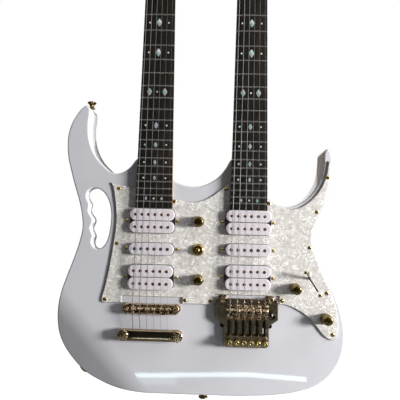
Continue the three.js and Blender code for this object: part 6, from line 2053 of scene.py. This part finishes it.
class GUITAR_OT_strap_buttons(bpy.types.Operator):
    """Make both strap buttons"""

    bl_idname = "guitar.strap_buttons"
    bl_label = "Strap buttons"
    bl_options = {"REGISTER", "UNDO"}

    def execute(self, context):
        dress_strap_buttons()
        return {"FINISHED"}


class GUITAR_OT_jack(bpy.types.Operator):
    """Make the output jack"""

    bl_idname = "guitar.jack"
    bl_label = "Output jack"
    bl_options = {"REGISTER", "UNDO"}

    def execute(self, context):
        dress_jack()
        return {"FINISHED"}


class GUITAR_OT_back(bpy.types.Operator):
    """Make the back cover, bolts, claw and springs"""

    bl_idname = "guitar.back"
    bl_label = "Back"
    bl_options = {"REGISTER", "UNDO"}

    def execute(self, context):
        dress_back()
        return {"FINISHED"}


STEPS = (
    GUITAR_OT_stage, GUITAR_OT_body, GUITAR_OT_guard, GUITAR_OT_pickups, GUITAR_OT_knobs,
    GUITAR_OT_toggle, GUITAR_OT_pickup_switch, GUITAR_OT_necks, GUITAR_OT_fretboards, GUITAR_OT_strings,
    GUITAR_OT_locking_nut, GUITAR_OT_fixed_bridge, GUITAR_OT_tailpiece, GUITAR_OT_tremolo,
    GUITAR_OT_fine_tuners, GUITAR_OT_tuners, GUITAR_OT_strap_buttons, GUITAR_OT_jack, GUITAR_OT_back,
)


class GUITAR_PT_dressing(bpy.types.Panel):
    """Lists the steps and the settings."""

    bl_idname = "GUITAR_PT_dressing"
    bl_label = "Double-neck guitar"
    bl_space_type = "VIEW_3D"
    bl_region_type = "UI"
    bl_category = "Guitar"

    def draw(self, context):
        for step in STEPS:
            self.layout.operator(step.bl_idname)
        for group in (context.scene.guitar_sizes, context.scene.guitar_colours):
            for name in group.__annotations__:
                self.layout.prop(group, name)


CLASSES = [GuitarSizes, GuitarColours, *STEPS, GUITAR_PT_dressing]


def register():
    """Registers the classes and puts the settings on the scene."""
    for item in CLASSES:
        bpy.utils.register_class(item)
    bpy.types.Scene.guitar_sizes = bpy.props.PointerProperty(type=GuitarSizes)
    bpy.types.Scene.guitar_colours = bpy.props.PointerProperty(type=GuitarColours)


def unregister():
    """Takes the settings and classes away again."""
    del bpy.types.Scene.guitar_colours
    del bpy.types.Scene.guitar_sizes
    for item in reversed(CLASSES):
        bpy.utils.unregister_class(item)


def main():
    """Runs every step in order."""
    register()
    bpy.ops.guitar.stage()
    bpy.ops.guitar.body()
    bpy.ops.guitar.guard()
    bpy.ops.guitar.pickups()
    bpy.ops.guitar.knobs()
    bpy.ops.guitar.toggle()
    bpy.ops.guitar.pickup_switch()
    bpy.ops.guitar.necks()
    bpy.ops.guitar.fretboards()
    bpy.ops.guitar.strings()
    bpy.ops.guitar.locking_nut()
    bpy.ops.guitar.fixed_bridge()
    bpy.ops.guitar.tailpiece()
    bpy.ops.guitar.tremolo()
    bpy.ops.guitar.fine_tuners()
    bpy.ops.guitar.tuners()
    bpy.ops.guitar.strap_buttons()
    bpy.ops.guitar.jack()
    bpy.ops.guitar.back()


if __name__ == "__main__":
    main()
